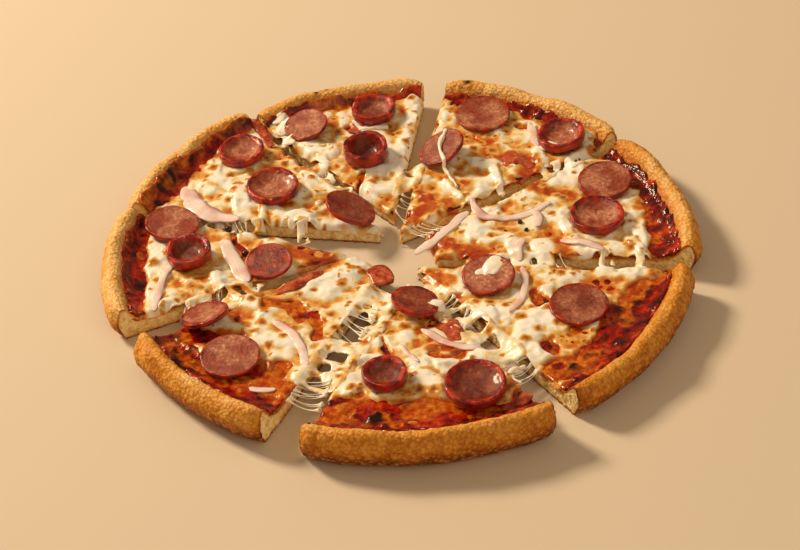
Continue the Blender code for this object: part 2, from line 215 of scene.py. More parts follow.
def cut_out(bm, cut, inset=0.0, close=False):
    """Cut a mesh along the planes of a slice and close the cuts of a solid."""
    for point, outward in cut_planes(cut):
        spot = point - outward * inset
        geom = bm.verts[:] + bm.edges[:] + bm.faces[:]
        bmesh.ops.bisect_plane(
            bm, geom=geom, dist=0.0001, plane_co=(*spot, 0), plane_no=(*outward, 0), clear_outer=True
        )
        if close:
            bmesh.ops.edgeloop_fill(bm, edges=[edge for edge in bm.edges if edge.is_boundary])


def evaluated(holder):
    """The mesh of an object with its modifiers applied. The object is removed."""
    graph = bpy.context.evaluated_depsgraph_get()
    mesh = bpy.data.meshes.new_from_object(holder.evaluated_get(graph))
    bpy.data.objects.remove(holder, do_unlink=True)
    return mesh


def remeshed(source, voxel):
    """A closed mesh of small even faces over a mesh."""
    holder = bpy.data.objects.new("holder", source)
    bpy.context.scene.collection.objects.link(holder)
    skin = holder.modifiers.new("voxels", "REMESH")
    skin.mode = "VOXEL"
    skin.voxel_size = voxel
    return evaluated(holder)


def mesh_from(bm):
    """A mesh from a bmesh, which is freed."""
    mesh = bpy.data.meshes.new("shape")
    bm.to_mesh(mesh)
    bm.free()
    return mesh


def read(mesh, what="co"):
    """The places or the normals of a mesh's vertices."""
    source = mesh.vertices if what == "co" else mesh.vertex_normals
    values = np.empty(3 * len(mesh.vertices), np.float32)
    source.foreach_get(what, values)
    return values.reshape(-1, 3).astype(float)


def finish_piece(name, mesh, places, values, surface, nodes, thick=0.0):
    """Make a piece from a mesh with its vertices moved to the places, and hand it to the frame."""
    places[:, 2] = np.maximum(places[:, 2], thick)
    mesh.vertices.foreach_set("co", (places * MM).astype(np.float32).ravel())
    for label, numbers in values.items():
        held = mesh.attributes.new(label, "FLOAT", "POINT")
        held.data.foreach_set("value", np.asarray(numbers, np.float32))
    mesh.update()
    mesh.shade_smooth()
    mesh.name = name
    piece = bpy.data.objects.new(name, mesh)
    bpy.context.scene.collection.objects.link(piece)
    mesh.materials.clear()
    mesh.materials.append(surface)
    if thick:
        under = piece.modifiers.new("thickness", "SOLIDIFY")
        under.thickness = thick * MM
        under.offset = -1
    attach(piece, "root")
    if nodes:
        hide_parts(*nodes)


def linear(code):
    """An sRGB hex colour as the linear colour that a shader takes."""
    parts = [int(code[i:i + 2], 16) / 255 for i in (1, 3, 5)]
    return (*[c / 12.92 if c <= 0.04045 else ((c + 0.055) / 1.055) ** 2.4 for c in parts], 1.0)


def per(size):
    """The scale of a texture whose pattern is that many millimetres across."""
    return 1000.0 / size


def add(tree, kind, settings=None, links=None, stops=()):
    """Add a node to a material, with its settings, its links and the stops of its colours."""
    node = tree.nodes.new(kind)
    for name, value in (settings or {}).items():
        if isinstance(name, str) and name not in node.inputs:
            setattr(node, name, value)
        else:
            node.inputs[name].default_value = value
    for name, source in (links or {}).items():
        tree.links.new(source, node.inputs[name])
    if stops:
        steps = node.color_ramp.elements
        while len(steps) < len(stops):
            steps.new(1.0)
        for step, (place, code) in zip(steps, stops):
            step.position = place
            step.color = linear(code)
    return node


def new_material(name, finish, carried=()):
    """A node material, its tree, its shader, the place on the piece and the levels that the mesh carries."""
    made = bpy.data.materials.new(name)
    made.use_nodes = True
    tree = made.node_tree
    shader = tree.nodes["Principled BSDF"]
    for socket, value in finish.items():
        shader.inputs[socket].default_value = value
    spot = add(tree, "ShaderNodeTexCoord").outputs["Object"]
    levels = [add(tree, "ShaderNodeAttribute", {"attribute_name": label}).outputs["Fac"] for label in carried]
    return made, tree, shader, spot, *levels


# Baked bread: matte and dry. The wall is mottled from tan to fried brown by the pan, the crumb is pale
# yellow, and where the sauce has run on the rim it is stained orange.
bread, tree, shader, spot, bake, crumb, stain, char, blister = new_material("baked_pan_bread", {
    "Roughness": 0.5, "Specular IOR Level": 0.2, "Subsurface Weight": 0.08,
    "Subsurface Radius": (1.0, 0.6, 0.3), "Subsurface Scale": 0.002,
}, ("bake", "crumb", "stain", "char", "blister"))
blotch = add(tree, "ShaderNodeTexNoise", {"Scale": per(9), "Detail": 4.0}, {"Vector": spot}).outputs["Fac"]
shift = add(tree, "ShaderNodeMath", {"operation": "MULTIPLY_ADD", 1: 0.7, 2: -0.35}, {0: blotch})
# the bake level also carries painted light and shade: paler on the slices facing the lamp, darker on those
# turned away
level = add(tree, "ShaderNodeMath", {"operation": "ADD", "use_clamp": True}, {0: bake, 1: shift.outputs[0]})
crust_colour = add(tree, "ShaderNodeValToRGB", {}, {"Fac": level.outputs[0]}, [
    (0.0, "#F8D28C"), (0.15, "#EEB65C"), (0.35, "#DC952C"), (0.62, "#BA6A0E"), (1.0, "#7A3A04"),
]).outputs["Color"]
grain = add(tree, "ShaderNodeTexVoronoi", {"feature": "SMOOTH_F1", "Scale": per(1.7), "Smoothness": 0.2},
            {"Vector": spot}).outputs["Distance"]
# painted shade: the crust is darkened in the small valleys between its bubbles
valley_shade = add(tree, "ShaderNodeMapRange", {"From Min": 0.25, "From Max": 0.65, "To Min": 0.0, "To Max": 0.45},
             {"Value": grain}).outputs["Result"]
valley_shaded = add(tree, "ShaderNodeMixRGB", {"blend_type": "MULTIPLY", "Color2": linear("#A8681E")},
             {"Fac": valley_shade, "Color1": crust_colour}).outputs["Color"]
# the tops of the bubbles are painted paler: partly their own colour, partly a painted highlight
skin_colour = add(tree, "ShaderNodeMixRGB", {"Color2": linear("#E8AC4C")},
                  {"Fac": blister, "Color1": valley_shaded}).outputs["Color"]
pore = add(tree, "ShaderNodeTexNoise", {"Scale": per(3), "Detail": 3.0}, {"Vector": spot}).outputs["Fac"]
crumb_colour = add(tree, "ShaderNodeValToRGB", {}, {"Fac": pore}, [
    (0.35, "#DDB468"), (0.5, "#F2D89C"), (0.7, "#FCECC4"),
]).outputs["Color"]
bread_colour = add(tree, "ShaderNodeMixRGB", {},
                   {"Fac": crumb, "Color1": skin_colour, "Color2": crumb_colour})
stained = add(tree, "ShaderNodeMixRGB", {"Color2": linear("#B8600E")},
              {"Fac": stain, "Color1": bread_colour.outputs["Color"]})
burnt = add(tree, "ShaderNodeMixRGB", {"Color2": linear("#2A140B")},
            {"Fac": char, "Color1": stained.outputs["Color"]})
tree.links.new(burnt.outputs["Color"], shader.inputs["Base Color"])
dough = add(tree, "ShaderNodeBump", {"invert": True, "Strength": 0.7, "Distance": 0.0008}, {"Height": grain})
tree.links.new(dough.outputs["Normal"], shader.inputs["Normal"])


def finer_rim(mesh, cut):
    """Halve the faces of the rim, where the blisters are."""
    bm = bmesh.new()
    bm.from_mesh(mesh)
    middle = Vector((*cut["rim"], 0))
    outer = {vert for vert in bm.verts if (vert.co - middle).xy.length > BLISTERS_START and vert.co.z > 0.5}
    edges = [edge for edge in bm.edges if edge.verts[0] in outer and edge.verts[1] in outer]
    bmesh.ops.subdivide_edges(bm, edges=edges, cuts=1, use_grid_fill=True)
    return mesh_from(bm)


def crust(letter):
    """The bread of one slice."""
    cut = SLICES[letter]
    rise = cut["rise"]
    outline = crust_profile(rise)
    bm = bmesh.new()
    mx, my = cut["rim"]
    verts = [bm.verts.new((mx + r, my, z)) for r, z in outline]
    edges = [bm.edges.new(pair) for pair in zip(verts, verts[1:])]
    bmesh.ops.spin(bm, geom=verts + edges, cent=(mx, my, 0), axis=(0, 0, 1), angle=2 * pi,
                   steps=TURN_STEPS, use_merge=True)
    bmesh.ops.remove_doubles(bm, verts=bm.verts, dist=0.001)
    bmesh.ops.recalc_face_normals(bm, faces=bm.faces)
    cut_out(bm, cut, inset=SKIN_INSET, close=True)
    bmesh.ops.recalc_face_normals(bm, faces=bm.faces)
    mesh = finer_rim(remeshed(mesh_from(bm), CRUST_VOXEL), cut)
    co = read(mesh)
    normal = read(mesh, "vector")
    xy = co[:, :2]
    radius, angle = from_rim_middle(cut, xy)
    outward = (xy - cut["rim"]) / np.maximum(radius, 1)[:, None]
    depth = depth_in(cut, xy)

    # how far under the skin of the turned section each place lies
    section = np.column_stack([radius, co[:, 2]])
    buried = np.full(len(co), 1e9)
    for start, end in zip(outline, outline[1:]):
        run = end - start
        t = np.clip(((section - start) @ run) / max(run @ run, 1e-9), 0, 1)
        off = section - start - t[:, None] * run
        buried = np.minimum(buried, np.hypot(off[:, 0], off[:, 1]))

    side = ease(1.4 - depth / 1.1)
    rimward = ease((radius - RIM_STARTS) / 5)
    off_foot = ease(co[:, 2] / 1.5)
    patchy = ease(0.5 + 1.2 * noise(co, 26, 19))
    small = domes(co, 2.6, 5)
    large = domes(co, 4.6, 15)
    bubbles = 0.26 * small + (0.12 + 0.3 * patchy) * large
    lumps = 0.5 * noise(co, 16, 21) + 0.25 * noise(co, 6, 22)
    skin_move = rimward * (1 - side) * off_foot * (bubbles + lumps - 0.7)
    holes = np.maximum(0, domes(co, 4.2, 31)) * 0.9 + np.maximum(0, domes(co, 2.1, 41)) * 0.5
    crumb_move = side * ease(buried / 1.5) * (0.5 * noise(co, 6, 23) - holes - 0.1)
    co += normal * (skin_move + crumb_move)[:, None]

    # the rim rises and falls, the slice sinks towards its tip and its corners are drawn in
    high = ease(co[:, 2] / rise)
    near_rim = ease((radius - CROWN_STARTS) / 8)
    co[:, 2] += RIM_LUMP * near_rim * high * (0.6 * np.sin(17 * angle) + 0.4 * np.sin(29 * angle + 1))
    co[:, 2] -= tip_dip(cut, xy) * np.clip(co[:, 2] / TRAY_TOP, 0, 1)
    for point, out in cut_planes(cut)[:2]:
        corner = np.maximum(0, 1 - ((point - xy) @ out) / CORNER_REACH) ** 2
        outer = ease((radius - CORNERS_START) / 9)
        co[:, :2] -= outward * (CORNER_IN * corner * outer)[:, None]
        co[:, 2] -= CORNER_DROP * corner * near_rim * high
    co[:, 2] = np.maximum(co[:, 2], 0)

    low = 1 - np.clip(co[:, 2] / rise, 0, 1)
    outer_wall = ease((radius - WALL_STARTS) / 5)
    fried = outer_wall * (0.15 + 0.75 * ease(1.5 * low - 0.35))
    # painted light and shade: the crust of the slices facing the lamp is painted paler, and of those turned
    # away darker
    bake_and_painted_light_level = 0.14 - CRUST_PAINTED_LIGHT[letter] + fried + 0.15 * noise(co, 22, 24)
    bake_and_painted_light_level = np.where(co[:, 2] < 0.6, 0.85, bake_and_painted_light_level) + 0.5 * side * ease(1 - buried / 2.5)
    inner = ease((STAIN_ENDS - radius) / 3)
    charred = np.max([ease(1.3 * stroke(xy, [place], size)) for place, size in CRUST_CHAR], axis=0)
    finish_piece(
        "crust_" + letter + "_bread", mesh, co,
        {
            "bake": np.clip(bake_and_painted_light_level, 0, 1),
            "crumb": side * ease((buried - 0.9) / 1.8) * ease(radius / 5),
            # paler tops of the bubbles on the skin: partly their own colour, partly a painted highlight
            "blister": (1 - side) * 0.6 * np.clip(np.maximum(small, large) * 1.8 - 0.9, 0, 1),
            "stain": 0.6 * inner * (1 - side) * ease((co[:, 2] - 8) / 3),
            "char": charred * ease((co[:, 2] - 12) / 3),
        },
        bread, ["crust_" + letter],
    )


for letter in SLICES:
    crust(letter)


# Sauce: a thin coat of tomato sauce spread on the dough up to the inside of the rim. Where the cheese
# doesn't cover it, it is baked dark red and oily, with blisters burnt black.
SAUCE_THICK = 1.4
SAUCE_RADIUS = 149.5
SAUCE_INSET = 0.5          # in from the cuts
SAUCE_REACH = 156.0        # the sheet's outer circle, before it is trimmed
SAUCE_TUCK = 1.2           # how far its edge goes on under the skin of the rim
SAUCE_COAT = 0.9
SHEET_CELL = 1.0
SHEET_MIDDLE = 85.0        # from the slice's tip
SHEET_HALF = 100.0

# How much further out the sauce reaches on some slices
SAUCE_SPREAD = {"a": 3.0, "b": 1.5, "h": 1.0, "f": 1.0}

# Burnt blisters on the sauce: place, radius
BLISTERS = [
    ((-127, 108), 3.2), ((-136, 71), 3), ((-133, 83), 4.5), ((-129, 88), 3), ((-103, 130), 2.5),
    ((-115, 122), 2), ((-152, 19), 3.2), ((-151, 8.5), 2.8), ((-148, 29), 2), ((-149, -20), 2.2),
    ((-148, -10), 2.2), ((-143, 15), 2.4), ((-133, -67), 3.4), ((-124, -62), 3), ((-122, -87), 4),
    ((-121, -93), 2.6), ((-115, -73), 2.6), ((-18, -137), 5), ((-14, -144), 3.2), ((37, -149), 2.6),
    ((-35, -140), 2.4), ((134, -46), 3.2), ((116, -60), 3), ((117, -70), 2.6), ((118, -77), 2.8),
    ((112, -87), 2.6), ((103, -86), 2.8), ((97, -96), 2.8), ((104, -97), 2.6), ((87, -105), 4),
    ((74, -95), 3), ((109, -101), 3), ((127, -35), 2.4), ((75, 124), 2.6), ((83, 130), 2.8), ((86, 125), 2.6),
    ((75, 116), 3.2), ((68, 116), 2.8), ((88, 136), 3), ((104, 131), 3), ((78, 47), 3), ((145, 30), 3),
    ((137, 31), 2.4), ((-48, 119), 3), ((62, -138), 2.4),
]

# Golden, oily stretches of the sauce band, where fat has collected: points, width, strength
GOLDEN_BAND = [
    ([(-146, 66), (-148, 56)], 9, 1.0), ([(-45, 149), (-30, 146)], 8, 1.0),
    ([(-98, 138), (-88, 138)], 6, 0.9), ([(-118, 118)], 6, 0.6), ([(-147, 12)], 4, 0.9),
    ([(80, 138), (84, 134)], 5, 0.8), ([(112, 108)], 9, 0.8), ([(118, 85)], 7, 0.9),
    ([(140, -36), (150, -34)], 9, 0.7), ([(0, -132), (20, -130)], 8, 0.7),
    ([(-88, -100), (-70, -113)], 6, 0.6), ([(95, -110)], 7, 0.7), ([(5, 158)], 8, 0.6),
    ([(-98, 136), (-116, 120), (-130, 100), (-138, 82)], 12, 0.72),
    ([(62, 150), (84, 140), (104, 130)], 7, 0.5), ([(-40, 154), (-10, 158)], 6, 0.5),
    ([(-126, -68), (-112, -90)], 7, 0.5),
]

# Stretches of the sauce band that are baked almost black: points, width, strength
DARK_BAND = [
    ([(124, 90), (136, 76), (145, 55), (148, 35), (147, 10), (147, -10)], 5, 1.0),
    ([(138, 70), (140, 40), (138, 20)], 6, 0.7), ([(112, -92), (126, -70)], 6, 0.8),
    ([(84, -112), (98, -104)], 5, 0.6), ([(-40, -140), (-20, -141)], 3, 0.6),
    ([(20, -144), (40, -143)], 3, 0.7), ([(60, -132), (72, -128)], 5, 0.8), ([(-148, 30), (-149, 0)], 4, 0.6),
    ([(-130, 96), (-136, 76)], 5, 0.6),
]


def warped(xy, size, amount, seed):
    """Places pushed about by noise, which makes a stroke's edge uneven."""
    points = flat(xy)
    push = np.column_stack([noise(points, size, seed), noise(points, size, seed + 50)])
    return xy + amount * push


def sauce_height(cut, xy):
    """Height of the sauce: level on the tray, and up the inside of the rim."""
    radius = from_rim_middle(cut, xy)[0]
    rise = cut["rise"]
    r = RIM_RADIUS
    climb = np.interp(
        radius,
        [0, r - 24, r - RIM_INNER, r - 13.6, r - 10.6, r - 7],
        [TRAY_TOP, TRAY_TOP, 0.56 * rise, 0.76 * rise, 0.95 * rise, rise],
    )
    return climb + SAUCE_THICK - tip_dip(cut, xy)


def sheet(cut, cell, inset, reach):
    """A flat grid of small cells over a slice, trimmed to its cuts and to a circle."""
    tip = np.array(cut["tip"], float)
    first, last = (radians(angle) for angle in cut["cuts"])
    centre = tip + middle_line(cut) * SHEET_MIDDLE
    bm = bmesh.new()
    count = int(2 * SHEET_HALF / cell)
    bmesh.ops.create_grid(
        bm, x_segments=count, y_segments=count, size=SHEET_HALF, matrix=Matrix.Translation((*centre, 0))
    )
    cut_out(bm, cut, inset=inset)
    for step in range(-4, 20):
        turn = first + (last - first) * step / 15
        edge = np.array(cut["rim"]) + reach * np.array((cos(turn), sin(turn)))
        geom = bm.verts[:] + bm.edges[:] + bm.faces[:]
        bmesh.ops.bisect_plane(bm, geom=geom, dist=0.0001, plane_co=(*edge, 0),
                               plane_no=(cos(turn), sin(turn), 0), clear_outer=True)
    return bm


def without(mesh, hidden):
    """A mesh without the faces whose corners are all hidden."""
    bm = bmesh.new()
    bm.from_mesh(mesh)
    gone = [face for face in bm.faces if all(hidden[vert.index] for vert in face.verts)]
    bmesh.ops.delete(bm, geom=gone, context="FACES")
    return mesh_from(bm)


# Baked tomato sauce: deep red and glossy with oil, orange where it is thin, black on its blisters.
tomato, tree, shader, spot, char, gold = new_material("baked_tomato_sauce", {
    "Roughness": 0.18, "Specular IOR Level": 0.35, "Subsurface Weight": 0.04, "Subsurface Scale": 0.001,
}, ("char", "gold"))
cloud = add(tree, "ShaderNodeTexNoise", {"Scale": per(8), "Detail": 5.0, "Roughness": 0.62},
            {"Vector": spot}).outputs["Fac"]
pulp = add(tree, "ShaderNodeTexNoise", {"Scale": per(3.4), "Detail": 3.0, "Roughness": 0.5},
           {"Vector": spot}).outputs["Fac"]
red = add(tree, "ShaderNodeValToRGB", {}, {"Fac": cloud}, [
    (0.38, "#3A0402"), (0.46, "#7C0903"), (0.55, "#A41A04"), (0.66, "#C44A08"),
]).outputs["Color"]
film = add(tree, "ShaderNodeValToRGB", {}, {"Fac": pulp}, [
    (0.32, "#9C3204"), (0.46, "#B85008"), (0.58, "#CC6E10"), (0.72, "#DE9428"),
]).outputs["Color"]
speckle = add(tree, "ShaderNodeMath", {"operation": "MULTIPLY_ADD", 1: 1.6, 2: -0.8}, {0: cloud}).outputs[0]
filmed = add(tree, "ShaderNodeMath", {"operation": "ADD"}, {0: gold, 1: speckle}).outputs[0]
share = add(tree, "ShaderNodeMapRange", {"From Min": 0.3, "From Max": 0.6, "To Max": 0.9}, {"Value": filmed})
golden = add(tree, "ShaderNodeMixRGB", {}, {"Fac": share.outputs["Result"], "Color1": red, "Color2": film})
burnt = add(tree, "ShaderNodeMixRGB", {"Color2": linear("#1C0604")},
            {"Fac": char, "Color1": golden.outputs["Color"]})
tree.links.new(burnt.outputs["Color"], shader.inputs["Base Color"])
relief = add(tree, "ShaderNodeBump", {"Strength": 0.6, "Distance": 0.0014}, {"Height": pulp})
tree.links.new(relief.outputs["Normal"], shader.inputs["Normal"])


def sauce_edge(letter, xy):
    """How far out the sauce reaches."""
    wavy = 1.6 * noise(flat(xy), 12, 61) + 0.8 * noise(flat(xy), 4, 62)
    return SAUCE_RADIUS + SAUCE_SPREAD.get(letter, 0.0) + wavy


def sauce(letter):
    """The sauce of one slice: its upper side, closed underneath."""
    cut = SLICES[letter]
    mesh = mesh_from(sheet(cut, SHEET_CELL, SAUCE_INSET, SAUCE_REACH))
    xy = read(mesh)[:, :2]
    mesh = without(mesh, from_rim_middle(cut, xy)[0] > sauce_edge(letter, xy) + SAUCE_TUCK)
    xy = read(mesh)[:, :2]
    radius = from_rim_middle(cut, xy)[0]
    depth = depth_in(cut, xy)
    edge = sauce_edge(letter, xy)
    z = sauce_height(cut, xy)
    lumps = domes(flat(warped(xy, 4, 1.0, 60)), 6.5, 69)
    pulp_lumps = domes(flat(warped(xy, 2.5, 0.7, 57)), 3.4, 56)
    z += 0.35 * noise(flat(xy), 6, 63) + 0.2 * noise(flat(xy), 2.5, 64) + 0.7 * lumps + 0.5 * pulp_lumps
    black = np.zeros(len(xy))
    bent = warped(warped(xy, 4.2, 2.2, 65), 1.8, 0.7, 59)
    for place, size in BLISTERS:
        dome = stroke(bent, [place], 1.25 * size)
        z += 0.25 * size * ease(1.5 * dome)
        black = np.maximum(black, (0.72 if size < 3.5 else 1.0) * ease(1.6 * dome))
    scorched = 0.6 * strokes(warped(xy, 5, 2.0, 55), DARK_BAND) * ease(0.7 + noise(flat(xy), 5, 54))
    black = np.maximum(black, scorched)
    line = ease(1 - np.abs(radius - edge + 1.2) / 1.3) * ease(0.6 + 1.6 * noise(flat(xy), 9, 66))
    black = np.maximum(black, 0.75 * line)
    z -= 3.0 * ease((radius - edge) / 1.8)
    z -= 1.0 * ease(1 - depth / 1.5)
    gold_level = strokes(warped(xy, 6, 2.5, 67), GOLDEN_BAND)
    near_cheese = ease((145 - radius) / 8) * ease(0.55 + 1.3 * noise(flat(xy), 8, 58))
    oily = 0.3 * ease(0.1 + noise(flat(xy), 11, 68))
    gold_level = np.max([gold_level, oily, 0.75 * near_cheese], axis=0)
    gold_level = gold_level + 0.12 * lumps + 0.1 * pulp_lumps
    values = {"char": black, "gold": gold_level}
    places = np.column_stack([xy, z])
    name = "sauce_" + letter + "_coat"
    finish_piece(name, mesh, places, values, tomato, ["sauce_" + letter], thick=SAUCE_COAT)


for letter in SLICES:
    sauce(letter)


# Pepperoni: slices of cured sausage. Their fat renders out in the oven, so the edges darken, curl up into
# cups and shine, while the faces stay pinkish brown with paler grains of fat. They lie in the soft cheese.
DISC_COUNT = 21
DISC_TURN = 80
DISC_THICK = 1.7
DISC_WALL = 3.2
CUP_CURL = 2.0             # slices that curl up more than this are bowls


def seat(node):
    """Where a packed pepperoni slice lies: the middle of its underside, its axis, radius and curl."""
    co = read(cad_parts[node].data) / MM
    middle = co.mean(axis=0)
    axis = np.linalg.svd(co - middle, full_matrices=False)[2][2]
    axis *= np.sign(axis[2])
    along = (co - middle) @ axis
    foot = middle + axis * along.min()
    off = co - middle - along[:, None] * axis
    return foot, axis, np.sqrt((off ** 2).sum(axis=1)).max(), along.max() - along.min() - DISC_THICK - 0.2


# How far the faces of some slices have darkened, from 0 to 1
COOKED = {
    "06": 0.8, "08": 0.3, "13": 1.0, "18": 0.5, "19": 0.7, "20": 0.8, "21": 0.8, "05": 0.9, "04": 0.6,
    "14": 0.5,
}

# How red the faces of some slices are, where sauce and fat lie on them
RUDDY = {"14": 0.6, "06": 0.25, "19": 0.2, "15": 0.15}
DISCS = {"pepperoni_%02d" % number: seat("pepperoni_%02d" % number) for number in range(1, DISC_COUNT + 1)}

# Cured sausage, cooked: a mottled face with pale grains of fat and oily patches, and a dark red glossy rim.
sausage, tree, shader, spot, rim, under, cooked = new_material("cooked_pepperoni", {
    "Specular IOR Level": 0.35, "Coat Weight": 0.22, "Coat Roughness": 0.1, "Subsurface Weight": 0.06,
    "Subsurface Scale": 0.001,
}, ("rim", "under", "cooked"))
meat = add(tree, "ShaderNodeTexNoise", {"Scale": per(1.9), "Detail": 5.0, "Roughness": 0.75},
           {"Vector": spot}).outputs["Fac"]
grains = add(tree, "ShaderNodeValToRGB", {}, {"Fac": meat}, [
    (0.30, "#82402A"), (0.44, "#AC6446"), (0.56, "#C68260"), (0.70, "#F0C8A4"),
]).outputs["Color"]
patch = add(tree, "ShaderNodeTexNoise", {"Scale": per(11), "Detail": 2.0}, {"Vector": spot}).outputs["Fac"]
warm = add(tree, "ShaderNodeMapRange", {"From Min": 0.4, "From Max": 0.58},
           {"Value": patch}).outputs["Result"]
face_colour = add(tree, "ShaderNodeMixRGB", {"blend_type": "MULTIPLY", "Color2": linear("#CC8462")},
                  {"Fac": warm, "Color1": grains}).outputs["Color"]
rim_noise = add(tree, "ShaderNodeTexNoise", {"Scale": per(5), "Detail": 3.0}, {"Vector": spot}).outputs["Fac"]
rim_colour = add(tree, "ShaderNodeValToRGB", {}, {"Fac": rim_noise}, [
    (0.36, "#560403"), (0.50, "#940A04"), (0.62, "#C03608"),
]).outputs["Color"]
deep = add(tree, "ShaderNodeMixRGB", {"blend_type": "MULTIPLY", "Color2": linear("#B47452")},
           {"Fac": cooked, "Color1": face_colour}).outputs["Color"]
red = add(tree, "ShaderNodeMixRGB", {}, {"Fac": rim, "Color1": deep, "Color2": rim_colour})
dark = add(tree, "ShaderNodeMixRGB", {"Color2": linear("#A82C0C")},
           {"Fac": under, "Color1": red.outputs["Color"]})
tree.links.new(dark.outputs["Color"], shader.inputs["Base Color"])
wet = add(tree, "ShaderNodeTexNoise", {"Scale": per(6), "Detail": 2.0}, {"Vector": spot}).outputs["Fac"]
dull = add(tree, "ShaderNodeMapRange", {"From Min": 0.4, "From Max": 0.6, "To Min": 0.28, "To Max": 0.5},
           {"Value": wet}).outputs["Result"]
gloss = add(tree, "ShaderNodeMix", {"B": 0.14}, {"Factor": rim, "A": dull}).outputs["Result"]
tree.links.new(gloss, shader.inputs["Roughness"])
relief = add(tree, "ShaderNodeBump", {"Strength": 0.75, "Distance": 0.0008}, {"Height": meat})
tree.links.new(relief.outputs["Normal"], shader.inputs["Normal"])


def pepperoni(node):
    """One slice of pepperoni, turned from its section and made uneven."""
    foot, axis, radius, curl = DISCS[node]
    seed = int(node[-2:])
    top = curl + DISC_THICK
    under_edge = [
        (0.0, 0.0), (0.5 * radius, 0.0), (0.80 * radius, 0.03 * top), (0.95 * radius, 0.16 * top),
        (radius, 0.42 * top), (radius, 0.80 * top), (radius - 0.4, top - 0.05),
    ]
    face = top - 0.25
    over = [(radius - 1.2, top), (0.85 * radius, top - 0.1), (0.5 * radius, face), (0.0, face)]
    if curl > CUP_CURL:
        face = DISC_THICK + 0.4
        lip = radius - DISC_WALL
        deep = top - face
        over = [
            (radius - 0.5 * DISC_WALL, top + 0.2), (lip, top - 0.5), (0.82 * lip, face + 0.42 * deep),
            (0.62 * lip, face + 0.1 * deep), (0.35 * lip, face), (0.0, face),
        ]
    wall = smooth_route(under_edge + over, 56)
    wall[0] = (0, 0)
    wall[-1] = (0, face)
    bm = bmesh.new()
    verts = [bm.verts.new((r, 0, z)) for r, z in np.maximum(wall, 0)]
    edges = [bm.edges.new(pair) for pair in zip(verts, verts[1:])]
    bmesh.ops.spin(bm, geom=verts + edges, cent=(0, 0, 0), axis=(0, 0, 1), angle=2 * pi,
                   steps=DISC_TURN, use_merge=True)
    bmesh.ops.remove_doubles(bm, verts=bm.verts, dist=0.001)
    bmesh.ops.recalc_face_normals(bm, faces=bm.faces)
    mesh = mesh_from(bm)
    co = read(mesh)
    normal = read(mesh, "vector")
    share = np.hypot(co[:, 0], co[:, 1]) / radius
    angle = np.arctan2(co[:, 1], co[:, 0])
    ring = np.column_stack([3 * np.cos(angle), 3 * np.sin(angle), np.zeros(len(co))])
    uneven = noise(ring, 2.2, seed) + 0.5 * noise(ring, 1.0, seed + 30)
    outward = co[:, :2] / np.maximum(share * radius, 0.1)[:, None]
    co[:, :2] += outward * (0.35 * uneven * share ** 3)[:, None]
    co[:, 2] += (0.10 * curl + 0.25) * noise(ring, 1.6, seed + 60) * share ** 4
    co += normal * (0.12 * noise(co, 1.6, seed) + 0.18 * noise(co, 4.0, seed + 90))[:, None]
    lean = Vector(axis).to_track_quat("Z", "Y").to_matrix()
    band = 1 - np.interp(curl, (1.2, 2.0, 4.0), (2.3, 4.4, 5.2)) / radius
    edge_level = ease((share - band + 0.07 * noise(co, 3, seed + 12)) / 0.16)
    edge_level = np.maximum(edge_level, RUDDY.get(node[-2:], 0.0) * ease(0.8 + noise(co, 7, seed + 15)))
    patchy = ease(0.6 + noise(ring, 1.4, seed + 13))
    outside = ease((share - 0.97) / 0.03) * ease(0.9 - np.abs(normal[:, 2])) * patchy
    depth = COOKED.get(node[-2:], 0.0) + 0.25 * noise(co, 9, seed + 14)
    values = {"rim": edge_level, "under": 0.8 * outside, "cooked": np.clip(depth, 0, 1)}
    places = co @ np.array(lean).T + foot
    finish_piece(node + "_slice", mesh, places, values, sausage, [node])


for node in DISCS:
    pepperoni(node)


# Cheese: shredded mozzarella, melted into one uneven sheet on each slice. It is thick and white where it
# has pooled, thin and stained orange by the sauce elsewhere, freckled brown, and hangs over the cuts.
CHEESE_CELL = 0.8
CHEESE_EDGE = 130.0
CHEESE_INSET = 0.1         # in from the cuts
CHEESE_REACH = 152.0       # the sheet's outer circle, before it is trimmed
CHEESE_BURIED = -0.9       # thickness below which it is hidden in the sauce
CHEESE_COAT = 0.8

# How much further out the cheese reaches on some slices
CHEESE_SPREAD = {"a": 11.0, "b": 14.0, "c": 12.0, "d": 7.0, "e": 7.0, "g": 5.0, "h": 11.0}

